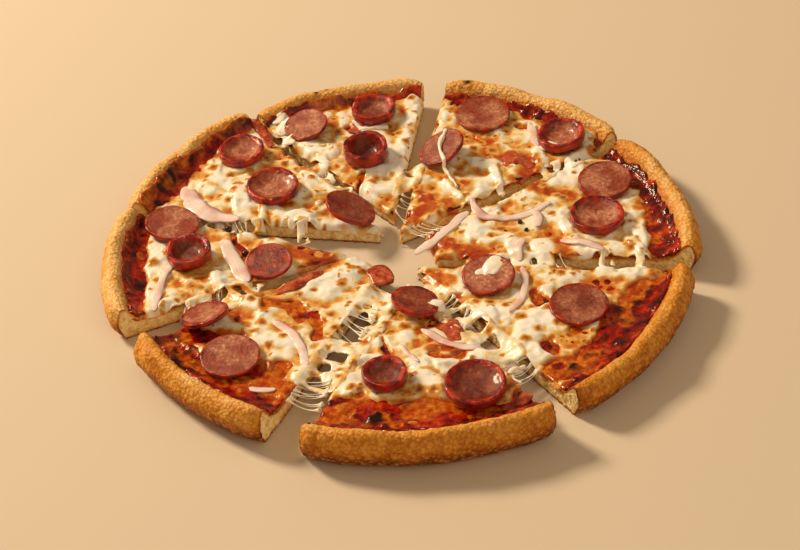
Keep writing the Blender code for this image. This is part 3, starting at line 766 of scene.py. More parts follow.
# Thick white pools and ropes of cheese: points, width, height
WHITE = [
    ([(-91, 67), (-90, 48)], 8, 1.8), ([(-80, 58), (-79, 38)], 4, 1.5), ([(-58, 41), (-52, 36)], 8, 2.2),
    ([(-46, 52)], 4, 1.2), ([(-96, 90), (-85, 92)], 6, 1.0), ([(-80, 92), (-62, 97)], 6, 0.8),
    ([(-54, 80), (-48, 66), (-35, 64)], 6, 1.0), ([(-88, 132), (-80, 122)], 6, 0.8),
    ([(-107, 95), (-108, 75)], 7, 0.6), ([(-68, 145), (-58, 113)], 6, 1.8),
    ([(-50, 108), (-38, 104)], 9, 2.0), ([(-44, 100), (-43, 86)], 4, 1.5),
    ([(-16, 83), (0, 80), (8, 72)], 7, 1.5), ([(-20, 68), (0, 62)], 8, 1.2), ([(12, 150), (14, 130)], 7, 1.0),
    ([(10, 115), (5, 95)], 7, 0.8), ([(-22, 130), (-5, 128)], 3, 1.2), ([(32, 160), (33, 135)], 6, 0.8),
    ([(25, 128), (22, 120)], 6, 1.4), ([(20, 108), (16, 98)], 5, 1.2), ([(45, 118), (60, 112)], 6, 0.8),
    ([(47, 84), (56, 80)], 6, 1.8), ([(56, 82), (57, 70), (60, 58)], 3, 1.8),
    ([(32, 75), (30, 65), (36, 52)], 3, 1.6), ([(15, 72), (5, 66)], 6, 1.5), ([(86, 92), (86, 66)], 5, 1.6),
    ([(115, 102), (128, 100)], 7, 1.0), ([(40, 62), (48, 60)], 6, 0.8),
    ([(92, 64), (104, 58), (108, 70)], 8, 1.8), ([(112, 88), (104, 78)], 7, 1.2),
    ([(60, 46), (50, 38)], 7, 1.2), ([(38, 28), (45, 15), (60, 10)], 8, 1.2), ([(62, 8), (66, -2)], 6, 1.4),
    ([(80, 2), (84, -6)], 8, 2.0), ([(95, 20), (97, 5), (112, -10)], 5, 1.8),
    ([(130, 0), (134, -12)], 5, 1.5), ([(132, 14), (140, 2)], 5, 1.0), ([(95, 30), (92, 22)], 5, 1.0),
    ([(44, -55), (46, -75)], 6, 1.4), ([(68, -72), (62, -88), (68, -95)], 10, 1.8),
    ([(75, -62), (85, -72)], 8, 1.0), ([(80, -30), (78, -45)], 5, 0.8), ([(95, -28), (125, -30)], 7, 0.8),
    ([(105, -20), (115, -22)], 5, 1.0), ([(132, -20), (136, -30)], 5, 0.8), ([(20, -40), (21, -50)], 5, 1.4),
    ([(-5, -38), (-15, -50)], 8, 1.4), ([(-10, -58), (0, -62)], 8, 1.0),
    ([(-36, -78), (-30, -90), (-15, -92)], 5, 2.0), ([(-20, -72), (-12, -76)], 4, 1.2),
    ([(5, -98), (10, -112), (15, -118)], 8, 1.5), ([(18, -98), (38, -92), (52, -98), (60, -112)], 6, 1.8),
    ([(-40, -98), (-32, -112)], 8, 1.2), ([(-30, -8), (-35, -22), (-48, -28)], 12, 1.8),
    ([(-20, -30), (-15, -42)], 8, 1.4), ([(-76, -62), (-66, -72)], 9, 0.8),
    ([(-52, -85), (-46, -75)], 7, 0.8), ([(-56, -95), (-57, -112)], 5, 1.6),
    ([(-84, -38), (-90, -30)], 6, 1.6), ([(-80, -48)], 5, 0.8), ([(-70, 16), (-68, 8)], 8, 1.6),
    ([(-126, -28), (-132, -42)], 6, 1.4), ([(-117, -22), (-112, -28)], 6, 0.9),
    ([(-105, -12), (-98, -26), (-88, -30), (-84, -36)], 6, 1.8), ([(-133, 10), (-138, 5)], 6, 0.7),
]

# Bare stretches, where the sauce shows: points, width, depth
BARE = [
    ([(-104, 131), (-113, 121), (-122, 110), (-126, 98), (-129, 86), (-131, 74)], 8, 5),
    ([(-146, 64)], 10, 5), ([(-148, 42), (-151, 20), (-151, 0), (-148, -30)], 9, 5),
    ([(-97, 30), (-88, 10)], 2.4, 3.5), ([(-103, 34), (-97, 31)], 3, 3), ([(-42, 158), (-20, 154)], 6, 5),
    ([(-22, 122), (-26, 128)], 4, 4), ([(-19, 80), (-23, 66)], 2, 4),
    ([(68, 148), (86, 140), (104, 130), (114, 116)], 6, 5), ([(88, 128)], 5, 4),
    ([(82, 118), (76, 120)], 4, 2.5),
    ([(122, 90), (136, 78), (146, 60), (149, 38), (147, 10), (146, -12)], 8, 5),
    ([(138, -42), (128, -55), (118, -72), (110, -85), (100, -98), (88, -106), (78, -108)], 11, 5),
    ([(112, -62), (108, -78)], 7, 5), ([(72, -40), (76, -52)], 4, 4), ([(76, -90)], 7, 5),
    ([(-48, -130), (-30, -128), (-10, -135), (10, -132), (30, -142), (50, -140), (66, -130)], 11, 5),
    ([(58, -125)], 7, 5), ([(14, -88), (26, -92)], 5, 4), ([(-12, -76), (-10, -86)], 3, 3),
    ([(22, -62), (28, -74)], 8, 3), ([(-26, -118)], 4, 3),
    ([(-134, -62), (-124, -74), (-115, -92), (-102, -105), (-88, -112), (-74, -118)], 13, 5),
    ([(-76, -36), (-62, -40), (-57, -50)], 6, 5), ([(-50, -53), (-47, -68)], 5, 5),
    ([(-68, -92), (-72, -102)], 7, 4), ([(-118, -62), (-104, -64), (-92, -72)], 9, 5),
    ([(-84, -92), (-74, -104), (-62, -110)], 8, 4),
]

# Stretches that are thin and stained orange: points, width, strength
THIN = [
    ([(-43, 43), (-38, 50), (-36, 40)], 7, 0.9), ([(-62, 100), (-50, 86)], 6, 0.7), ([(-118, 115)], 7, 0.8),
    ([(-116, 92)], 6, 0.7), ([(-98, 136), (-88, 139)], 6, 0.8), ([(-100, 68), (-112, 78)], 4, 0.4),
    ([(-62, 8), (-50, 8), (-40, 0), (-60, -15)], 12, 1.0), ([(-85, 18), (-80, 28)], 5, 0.6),
    ([(-125, -5), (-110, -12)], 7, 0.6), ([(-45, 150), (-30, 148)], 8, 0.9),
    ([(-38, 135), (-34, 120)], 5, 0.9), ([(-28, 80), (-30, 72)], 4, 0.6), ([(-30, 112)], 4, 0.7),
    ([(5, 158), (15, 160)], 6, 0.7), ([(15, 60), (20, 45), (5, 32)], 10, 0.9),
    ([(30, 45), (35, 35)], 10, 0.9), ([(48, 92), (60, 95)], 7, 0.6), ([(78, 138), (84, 132)], 6, 0.7),
    ([(112, 108), (118, 112)], 7, 0.9), ([(62, 75), (70, 60)], 5, 0.6),
    ([(20, 12), (30, 5), (45, 0)], 10, 1.0), ([(75, 56), (90, 50), (100, 42)], 8, 0.9),
    ([(117, 88), (124, 82)], 5, 0.8), ([(8, 12)], 6, 0.8), ([(92, 0), (88, -8)], 6, 0.8),
    ([(20, -4), (30, -10)], 9, 1.0), ([(12, -16), (26, -26)], 8, 0.8), ([(140, -35), (150, -32)], 9, 0.9),
    ([(112, -40), (120, -48)], 5, 0.8), ([(85, -22), (95, -22)], 5, 0.8), ([(85, -100), (98, -108)], 6, 0.9),
    ([(-12, -16)], 9, 0.9), ([(12, -84), (28, -88)], 6, 0.9), ([(-12, -78), (-10, -88)], 5, 0.8),
    ([(-40, -125), (0, -128)], 7, 0.8), ([(8, -102), (14, -106)], 3, 0.6), ([(-62, -45), (-58, -50)], 7, 0.9),
    ([(-75, -42)], 5, 0.8), ([(-100, -62), (-112, -68)], 6, 0.8), ([(-82, -90), (-68, -95)], 6, 0.8),
    ([(-65, -112)], 6, 0.8), ([(-92, -48), (-85, -55)], 6, 0.7), ([(-108, -66), (-88, -64)], 9, 0.9),
    ([(-80, -86), (-68, -100)], 8, 0.9), ([(62, 88), (80, 82), (78, 70)], 9, 1.0),
    ([(20, 75), (40, 62)], 8, 0.7), ([(42, 106), (60, 104)], 8, 0.7), ([(-92, -22), (-80, -30)], 5, 0.7),
    ([(-120, 10), (-112, 22)], 8, 0.8), ([(-70, -58), (-60, -56)], 6, 0.8),
    ([(-76, -36), (-60, -42)], 8, 0.9), ([(8, -118), (30, -120)], 5, 0.9),
]

# Freckles where the cheese has browned: place, radius
FRECKLES = [
    ((-88, 124), 3), ((-93, 74), 3.5), ((-98, 84), 3), ((-108, 92), 4), ((-112, 84), 3), ((-104, 64), 2),
    ((-99, 59), 3), ((-76, 98), 3.5), ((-66, 92), 3), ((-50, 76), 2.2), ((-47, 64), 1.8), ((-100, 97), 3),
    ((-97, 136), 3), ((-65, 102), 3), ((-73, 18), 2.5), ((-65, 19), 2), ((-140, 3), 4), ((-122, -5), 5),
    ((-117, -20), 4), ((-108, -25), 3), ((-84, -35), 2.5), ((-80, 15), 3), ((12, 151), 2.5), ((9, 160), 3),
    ((3, 118), 3), ((7, 108), 2.5), ((-2, 125), 3), ((2, 148), 2), ((13, 138), 2), ((-36, 135), 3),
    ((-33, 122), 4), ((-39, 145), 3), ((-12, 73), 3.5), ((-35, 88), 2.5), ((-41, 76), 2), ((40, 148), 2.4),
    ((35, 137), 1.8), ((27, 128), 2.2), ((52, 103), 2.5), ((47, 97), 3), ((60, 108), 2), ((58, 94), 3.5),
    ((56, 87), 2), ((68, 118), 3), ((73, 124), 3), ((62, 120), 2), ((34, 112), 2), ((45, 110), 2.5),
    ((78, 133), 3), ((35, 60), 3), ((20, 62), 4), ((55, 41), 3.5), ((65, 50), 3.5), ((87, 28), 2.5),
    ((35, 18), 2.5), ((58, 19), 3), ((52, 12), 2.5), ((80, 20), 2), ((75, 60), 3), ((85, 55), 3),
    ((92, 45), 3), ((104, 64), 1.8), ((95, 43), 3), ((128, 22), 2.5), ((131, 16), 2), ((129, -8), 3),
    ((63, -63), 3.5), ((71, -75), 3), ((45, -73), 3.5), ((64, -83), 3.5), ((88, -80), 3), ((100, -78), 2),
    ((82, -70), 3), ((47, -48), 3), ((55, -52), 2.5), ((88, -28), 3), ((95, -24), 3), ((105, -26), 2),
    ((128, -22), 3), ((84, -26), 2), ((95, -85), 2), ((69, -55), 2), ((0, -64), 4), ((-8, -66), 3),
    ((-16, -53), 3), ((-22, -75), 4), ((-10, -60), 3), ((-36, -98), 2.5), ((-36, -103), 3), ((-30, -113), 3),
    ((3, -105), 2), ((-5, -52), 3), ((8, -58), 2), ((-24, -98), 2), ((-34, -24), 3), ((-49, -28), 2.5),
    ((-22, -13), 3), ((-30, -40), 2), ((-38, -62), 3), ((-40, -50), 3), ((-30, -8), 2), ((-78, -55), 3.5),
    ((-82, -62), 3), ((-66, -68), 3), ((-74, -75), 3), ((-80, -76), 2.5), ((-50, -100), 3), ((-46, -96), 2.5),
    ((-45, -70), 2), ((-42, -78), 2), ((-25, -28), 2), ((-58, -32), 3), ((6, -117), 3.6), ((13, -119), 3.6),
]

# Cheese that bridges the gaps between slices: the two slices, where it is (points, width, height), the
# holes in it (points, width, depth) and how far it sags
WEBS = [
    ("g", "f",
     [([(-13, -38), (-27, -66), (-38, -88), (-45, -98)], 20, 1.0), ([(-46, -100), (-51, -114)], 9, 0.6)],
     [([(-33, -52), (-28, -62)], 6.5, 1), ([(-38, -66), (-31, -69)], 3.4, 1), ([(-34, -87)], 2.0, 1),
      ([(-44, -93)], 3.6, 1), ([(-49, -104)], 4, 1), ([(-40, -40)], 4, 1), ([(-22, -50)], 3, 1)], 2.5),
    ("e", "f",
     [([(14, -30), (32, -60), (51, -92)], 17, 1.0), ([(55, -98), (60, -110)], 8, 0.7)],
     [([(28, -42)], 6, 1), ([(33, -54)], 3.5, 1), ([(40, -66)], 5.5, 1), ([(57, -100)], 2.8, 1),
      ([(60, -108)], 2.8, 1), ([(48, -84)], 3, 1)], 2.5),
    ("h", "g",
     [([(-112, -37), (-98, -31), (-84, -26)], 13, 1.0), ([(-122, -42)], 8, 0.55)],
     [([(-102, -26)], 5, 1), ([(-76, -24)], 5, 1), ([(-92, -22)], 2, 1)], 2.0),
    ("d", "e",
     [([(58, -10), (80, -12)], 9, 0.95), ([(114, -4), (113, -22)], 4, 1.0), ([(133, -6), (132, -24)], 4, 1.0),
      ([(118, -18), (130, -22)], 5, 0.6), ([(46, -4), (40, -8)], 6, 0.7)],
     [([(93, -12)], 7, 1), ([(106, -16)], 5, 1)], 2.0),
    ("b", "c",
     [([(0, 66), (14, 76)], 11, 1.0), ([(17, 124), (12, 130)], 4, 0.6)],
     [([(7, 78)], 2, 1)], 2.0),
    ("c", "d",
     [([(58, 74), (60, 54)], 3.4, 1.0), ([(86, 80), (85, 60)], 6.5, 1.0), ([(95, 80), (91, 62)], 4, 1.0),
      ([(114, 86), (104, 74)], 8, 1.0), ([(66, 62)], 4, 0.5), ([(42, 48), (46, 40)], 4, 0.8)],
     [([(90, 74)], 3, 1)], 2.0),
    ("a", "h",
     [([(-82, 38), (-85, 30)], 4.5, 1.0), ([(-56, 36), (-54, 22)], 5, 1.0),
      ([(-108, 40), (-98, 36)], 6, 0.7)],
     [], 4.0),
    ("a", "b",
     [([(-73, 114), (-64, 116)], 5, 0.9), ([(-48, 88), (-42, 78)], 8, 1.0), ([(-30, 66), (-38, 70)], 6, 0.8)],
     [], 2.0),
]
WEB_STROKES = [one for first, second, here, holes, sag in WEBS for one in here]

# Melted mozzarella: white and softly translucent, with an oily sheen. Thin stretches take the orange of
# the sauce's oil, and freckles run from gold to brown.
melted, tree, shader, spot, thin, brown = new_material("melted_mozzarella", {
    "Roughness": 0.3, "Subsurface Weight": 0.25, "Subsurface Radius": (1.0, 0.7, 0.4),
    "Subsurface Scale": 0.0022,
}, ("thin", "brown"))
cloud = add(tree, "ShaderNodeTexNoise", {"Scale": per(5), "Detail": 5.0, "Roughness": 0.6},
            {"Vector": spot}).outputs["Fac"]
shift = add(tree, "ShaderNodeMath", {"operation": "MULTIPLY_ADD", 1: 0.9, 2: -0.45}, {0: cloud})
level = add(tree, "ShaderNodeMath", {"operation": "ADD", "use_clamp": True}, {0: thin, 1: shift.outputs[0]})
white = add(tree, "ShaderNodeValToRGB", {}, {"Fac": level.outputs[0]}, [
    (0.0, "#FFFBF2"), (0.23, "#F7E9CA"), (0.44, "#E5B664"), (0.66, "#CF7A22"), (0.92, "#AE400B"),
]).outputs["Color"]
edge = add(tree, "ShaderNodeTexNoise", {"Scale": per(1.5), "Detail": 3.0}, {"Vector": spot}).outputs["Fac"]
ragged = add(tree, "ShaderNodeMath", {"operation": "MULTIPLY_ADD", 1: 0.4, 2: -0.2}, {0: edge})
freckle = add(tree, "ShaderNodeMath", {"operation": "ADD", "use_clamp": True},
              {0: brown, 1: ragged.outputs[0]})
toast = add(tree, "ShaderNodeValToRGB", {}, {"Fac": freckle.outputs[0]}, [
    (0.2, "#EDCB7E"), (0.5, "#D9993C"), (0.72, "#B26A20"), (0.95, "#743610"),
]).outputs["Color"]
cover = add(tree, "ShaderNodeMapRange", {"From Min": 0.14, "From Max": 0.46}, {"Value": freckle.outputs[0]})
toasted = add(tree, "ShaderNodeMixRGB", {},
              {"Fac": cover.outputs["Result"], "Color1": white, "Color2": toast})
tree.links.new(toasted.outputs["Color"], shader.inputs["Base Color"])
curd = add(tree, "ShaderNodeTexNoise", {"Scale": per(2.6), "Detail": 3.0}, {"Vector": spot}).outputs["Fac"]
relief = add(tree, "ShaderNodeBump", {"Strength": 0.25, "Distance": 0.0008}, {"Height": curd})
tree.links.new(relief.outputs["Normal"], shader.inputs["Normal"])


def cheese_thick(letter, xy):
    """Thickness of the cheese over the sauce. It is below 0 where there is none."""
    points = flat(xy)
    bent = warped(warped(xy, 10, 2.4, 71), 3.5, 0.9, 73)
    radius = from_rim_middle(SLICES[letter], xy)[0]
    thick = 1.5 + 0.9 * noise(points, 15, 74) + 0.75 * noise(points, 7, 75) + 0.3 * noise(points, 3.2, 76)
    rope = 1 - np.abs(noise(flat(bent), 6, 77))
    thick += 0.8 * (rope - 0.55)
    thick += strokes(bent, WHITE, 1.6)
    thick -= 0.8 * strokes(bent, BARE, 1.4)
    edge = CHEESE_EDGE + CHEESE_SPREAD.get(letter, 0.0)
    edge = edge + 4 * noise(points, 14, 78) + 2.5 * noise(points, 5, 79)
    thick -= 3.6 * ease((radius - edge) / 14)
    return np.minimum(thick, 0.28 * (edge + 15 - radius))


def under_discs(xy, z):
    """Hold the cheese just under the pepperoni slices that lie on it."""
    for foot, axis, radius, curl in DISCS.values():
        off = xy - foot[:2]
        reach = np.hypot(off[:, 0], off[:, 1]) / radius
        lean = foot[2] - (off @ axis[:2]) / axis[2]
        bottom = lean + (curl + DISC_THICK) * 0.35 * np.clip((reach - 0.8) / 0.2, 0, 1) ** 2 - 0.15
        inside = ease((1.03 - reach) / 0.08)
        z = np.where(z > bottom, z + (bottom - z) * inside, z)
        gather = ease((1.0 - np.abs(reach - 1.05) / 0.22))
        z = z + 0.35 * gather * (z > bottom - 3.5)
    return z


def cheese_level(letter, xy):
    """Height of the cheese's upper side."""
    cut = SLICES[letter]
    radius = from_rim_middle(cut, xy)[0]
    r = RIM_RADIUS
    climb = np.interp(radius, [0, r - 24, r - RIM_INNER, r - 13.6], [0, 0, 1.6, 4.6])
    return TRAY_TOP + SAUCE_THICK + climb - tip_dip(cut, xy) + cheese_thick(letter, xy)


def browned(bent):
    """How brown the cheese is: placed freckles with pale halos, and small ones between them."""
    placed = np.max([stroke(bent, [place], 1.5 * size) for place, size in FRECKLES], axis=0)
    between = np.clip(1.7 * domes(flat(bent), 6.5, 83) - 0.7, 0, 1)
    return np.maximum(placed, 0.75 * between * (hashed((flat(bent) / 9).astype(np.int64), 84) > 0.5))


def cheese(letter):
    """The cheese of one slice."""
    cut = SLICES[letter]
    mesh = mesh_from(sheet(cut, CHEESE_CELL, CHEESE_INSET, CHEESE_REACH))
    mesh = without(mesh, cheese_thick(letter, read(mesh)[:, :2]) < CHEESE_BURIED)
    xy = read(mesh)[:, :2]
    points = flat(xy)
    thick = cheese_thick(letter, xy)
    z = under_discs(xy, cheese_level(letter, xy))
    bent = warped(xy, 2.4, 0.8, 82)
    brown_level = browned(bent)
    window = ease(1.6 * domes(flat(bent), 10, 88) - 0.3) * ease(0.5 + 2 * noise(points, 25, 89))
    thin_level = np.clip((2.5 - thick) / 2.7, 0, 0.9)
    thin_level = np.maximum(thin_level, 0.9 * strokes(warped(xy, 7, 2.5, 81), THIN, 1.3))
    thin_level = np.clip(thin_level + 0.35 * window, 0, 1)
    z += 0.4 * brown_level - 0.4 * window + 0.05 * noise(points, 1.8, 85)

    # over the cuts the sheet bends down, here and there into a drip, but not where it bridges the gap
    held = strokes(xy, [(spots, width + 4, 0.9) for spots, width, height in WEB_STROKES])
    for point, outward in cut_planes(cut):
        depth = (point - xy) @ outward
        hang = 2.2 + 1.6 * noise(points, 9, 86) + 4.5 * np.maximum(0, noise(points, 7, 87) - 0.2)
        hang = np.maximum(hang, 1.2)
        fold = np.clip(1 - depth / hang, 0, 1) * (1 - held)
        present = ease(thick / 0.8)
        xy = xy + outward * (0.9 * present * np.sin(fold * pi / 2))[:, None]
        z = z - (0.6 + np.maximum(thick, 0) + 0.7 * hang) * (1 - np.cos(fold * pi / 2))
    values = {"thin": thin_level, "brown": brown_level}
    places = np.column_stack([xy, z])
    name = "cheese_" + letter + "_sheet"
    finish_piece(name, mesh, places, values, melted, ["cheese_" + letter], thick=CHEESE_COAT)


for letter in SLICES:
    cheese(letter)


# Cheese webs: where the slices were pulled apart, the melted cheese stretched across the gaps. It sags
# between them in a torn sheet with round holes, held by the cheese of both slices.
WEB_CELL = 0.8
WEB_VOXEL = 0.6
WEB_THINNEST = 0.2
WEB_OVERLAP = 4.0          # how far it reaches in over each slice


def gap_share(first, second, xy):
    """How far across the gap from the first slice to the second each place lies, from 0 to 1."""
    off_first, off_second = (np.maximum(-depth_in(SLICES[letter], xy), 0) for letter in (first, second))
    return off_first / np.maximum(off_first + off_second, 0.01)


def gap_line(first, second):
    """The direction of the gap between two slices, away from the middle of the pizza."""
    pairs = product(SLICES[first]["cuts"], SLICES[second]["cuts"])
    facing = min(pairs, key=lambda pair: abs((pair[0] - pair[1] + 180) % 360 - 180))
    turn = radians(facing[0] + ((facing[1] - facing[0] + 180) % 360 - 180) / 2)
    return np.array((cos(turn), sin(turn)))


def web_body(first, second, here, holes, sag, xy):
    """Middle height and thickness of a web at each place."""
    share = gap_share(first, second, xy)
    levels = [cheese_level(letter, xy) for letter in (first, second)]
    sauces = [TRAY_TOP + SAUCE_THICK + 1.2 - tip_dip(SLICES[letter], xy) for letter in (first, second)]
    edges = [np.maximum(level, low) for level, low in zip(levels, sauces)]
    middle = edges[0] * (1 - share) + edges[1] * share - 4 * sag * share * (1 - share) - 0.5
    along = gap_line(first, second)
    run = xy @ along
    across = xy @ np.array((-along[1], along[0]))
    wave = 1.2 * noise(flat(xy), 9, 90)
    strands = noise(np.column_stack([run + wave, 0.12 * across, 0 * run]), 3.4, 91)
    bent = warped(xy, 4, 1.2, 92)
    crossing = ease(4 * share * (1 - share))
    body = strokes(bent, here)
    thick = 2.6 * body - 4.5 * strokes(bent, holes) + crossing * ease(3 * body) * (2.2 * strands - 0.9)
    return middle, thick - 0.5 + 0.3 * noise(flat(xy), 5, 93)


def web(first, second, here, holes, sag):
    """The torn sheet of cheese between two slices."""
    spots = np.array([spot for points, width, height in here for spot in points], float)
    reach = max(width for points, width, height in here) + 2
    low, high = spots.min(axis=0) - reach, spots.max(axis=0) + reach
    half = (high - low) / 2
    columns, rows = (2 * half / WEB_CELL).astype(int).tolist()
    place = Matrix.Translation((*(low + half), 0)) @ Matrix.Diagonal((*half, 1, 1))
    bm = bmesh.new()
    bmesh.ops.create_grid(bm, x_segments=columns, y_segments=rows, size=1, matrix=place)
    places = np.array([vert.co.xy for vert in bm.verts])
    stays = web_body(first, second, here, holes, sag, places)[1] > WEB_THINNEST
    for letter in (first, second):
        stays &= depth_in(SLICES[letter], places) < WEB_OVERLAP
    gone = [face for face in bm.faces if not all(stays[vert.index] for vert in face.verts)]
    bmesh.ops.delete(bm, geom=gone, context="FACES")
    grown = bmesh.ops.extrude_face_region(bm, geom=bm.faces[:])["geom"]
    upper = {item for item in grown if isinstance(item, bmesh.types.BMVert)}
    places = np.array([vert.co.xy for vert in bm.verts])
    middle, thick = web_body(first, second, here, holes, sag, places)
    for vert, level, depth in zip(bm.verts, middle, np.clip(thick, 0.5, 2.2)):
        vert.co.z = level + (0.5 if vert in upper else -0.5) * depth
    bmesh.ops.recalc_face_normals(bm, faces=bm.faces)
    mesh = remeshed(mesh_from(bm), WEB_VOXEL)
    bm = bmesh.new()
    bm.from_mesh(mesh)
    for turn in range(4):
        bmesh.ops.smooth_vert(
            bm, verts=bm.verts, factor=0.5, use_axis_x=True, use_axis_y=True, use_axis_z=True
        )
    mesh = mesh_from(bm)
    co = read(mesh)
    bent = warped(co[:, :2], 2.4, 0.8, 82)
    thin_level = 0.2 + 0.3 * noise(co, 8, 94) + strokes(co[:, :2], THIN) * 0.7
    values = {"thin": np.clip(thin_level, 0, 1), "brown": 0.9 * browned(bent)}
    finish_piece("cheese_web_" + first + second, mesh, co, values, melted, [])


for item in WEBS:
    web(*item)


# Threads: where the cheese was pulled furthest it is drawn out into fine strings, held by both slices and
# thinnest in the middle. Each: the two slices, the stretch of each cut between which they hang, how
# many, thickness and sag
THREADS = [
    ("g", "f", ((-57, -100), (-64, -118)), ((-39, -100), (-47, -126)), 13, 0.5, 3.0),
    ("g", "f", ((-24, -38), (-42, -70)), ((-14, -48), (-30, -84)), 14, 0.5, 2.0),
    ("e", "f", ((60, -90), (70, -108)), ((48, -98), (58, -116)), 9, 0.5, 3.0),
    ("e", "f", ((24, -32), (40, -60)), ((12, -44), (30, -70)), 10, 0.5, 2.0),
    ("h", "g", ((-122, -31), (-100, -22)), ((-122, -44), (-100, -38)), 12, 0.4, 2.0),
    ("d", "e", ((60, -5), (90, -9)), ((60, -16), (92, -20)), 10, 0.45, 2.0),
    ("a", "h", ((-110, 44), (-84, 38)), ((-100, 32), (-84, 26)), 7, 0.4, 2.0),
    ("b", "c", ((-3, 38), (4, 62)), ((2, 26), (16, 60)), 6, 0.35, 2.0),
    ("c", "d", ((2, 25), (20, 32)), ((12, 16), (30, 26)), 7, 0.35, 2.0),
]


def tube_mesh(routes):
    """A mesh of round tubes, each given by its places and the radius at each."""
    curve = bpy.data.curves.new("tubes", "CURVE")
    curve.dimensions = "3D"
    curve.bevel_depth = 1.0
    curve.bevel_resolution = 1
    curve.use_fill_caps = True
    for places, radii in routes:
        spline = curve.splines.new("POLY")
        spline.points.add(len(places) - 1)
        for point, place, radius in zip(spline.points, places, radii):
            point.co = (*place, 1)
            point.radius = radius
    holder = bpy.data.objects.new("tubes", curve)
    bpy.context.scene.collection.objects.link(holder)
    return evaluated(holder)


def threads():
    """Fine threads of cheese across the gaps, thinned in the middle where they have stretched."""
    rng = np.random.default_rng(11)
    routes = []
    for first, second, near, far, count, radius, sag in THREADS:
        for step in range(count):
            t = (step + rng.uniform(-0.3, 1.3)) / count
            start = np.array(near[0]) * (1 - t) + np.array(near[1]) * t
            t = np.clip(t + rng.uniform(-0.12, 0.12), 0, 1)
            end = np.array(far[0]) * (1 - t) + np.array(far[1]) * t
            s = np.linspace(0, 1, 14)
            flat_route = start + np.outer(s, end - start)
            ends = [
                float(cheese_level(letter, spot[None])[0]) for letter, spot in ((first, start), (second, end))
            ]
            low = [TRAY_TOP + SAUCE_THICK - 1.5 * rng.uniform() for k in range(2)]
            z0, z1 = (max(level - 0.8 - 2.5 * rng.uniform(), lowest) for level, lowest in zip(ends, low))
            z = z0 * (1 - s) + z1 * s - 4 * sag * rng.uniform(0.3, 1.2) * s * (1 - s)
            size = radius * rng.uniform(0.5, 1.4)
            radii = size * (0.45 + 2.2 * np.abs(2 * s - 1) ** 4)
            routes.append((np.column_stack([flat_route, z]), radii))
    mesh = tube_mesh(routes)
    co = read(mesh)
    values = {"thin": np.full(len(co), 0.08), "brown": np.zeros(len(co))}
    finish_piece("cheese_threads", mesh, co, values, melted, [])


threads()


# Dollops: bits of cheese that melted on top of the pepperoni, strings of it that fell across, and drips that
# hang over the cuts. They have run into smooth lumps of plain white cheese.
DOLLOP_VOXEL = 0.5

# Each dollop: the pepperoni slice, place, length, width, direction in degrees, height
DOLLOPS = [
    ("pepperoni_17", (50, -24), 17, 12, 95, 2.2), ("pepperoni_17", (44, -26), 9, 7, 60, 1.4),
    ("pepperoni_19", (17, -49), 12, 8, 60, 2.2), ("pepperoni_03", (-69, 137), 13, 8, -72, 1.2),
    ("pepperoni_03", (-66, 127), 14, 9, -60, 1.3), ("pepperoni_03", (-62, 116), 13, 7, -75, 1.2),
    ("pepperoni_09", (92, 92), 12, 6, 75, 1.8),
]

# Strings of cheese over the pepperoni: the slice, places along the string, radius
STRINGS = [
    ("pepperoni_08", [(32, 106), (29, 96), (27, 86), (29, 74), (35, 58)], 1.5),
    ("pepperoni_04", [(-24, 130), (-16, 123), (-4, 124)], 1.3),
]

# Drips: places down a cut face and the radius at each
DRIPS = [
    ([(-80, 40, 13), (-79.5, 38, 10), (-79, 37.4, 6.5), (-79, 37.2, 4)], (3.0, 2.0, 1.7, 1.2)),
    ([(-56, 36, 12), (-55, 33.5, 10), (-54.5, 32.8, 6), (-54.2, 32.6, 3)], (4.5, 3.2, 2.0, 1.4)),
    ([(-62, 38, 12), (-62, 35.2, 9.5), (-62, 34.8, 8)], (3.0, 2.4, 1.6)),
    ([(112, -8, 13), (112.5, -12, 10), (113, -12.6, 6)], (2.4, 1.6, 1.2)),
    ([(133, -12, 13), (132.5, -15, 10.5), (132.5, -15.8, 7)], (2.4, 1.6, 1.2)),
]


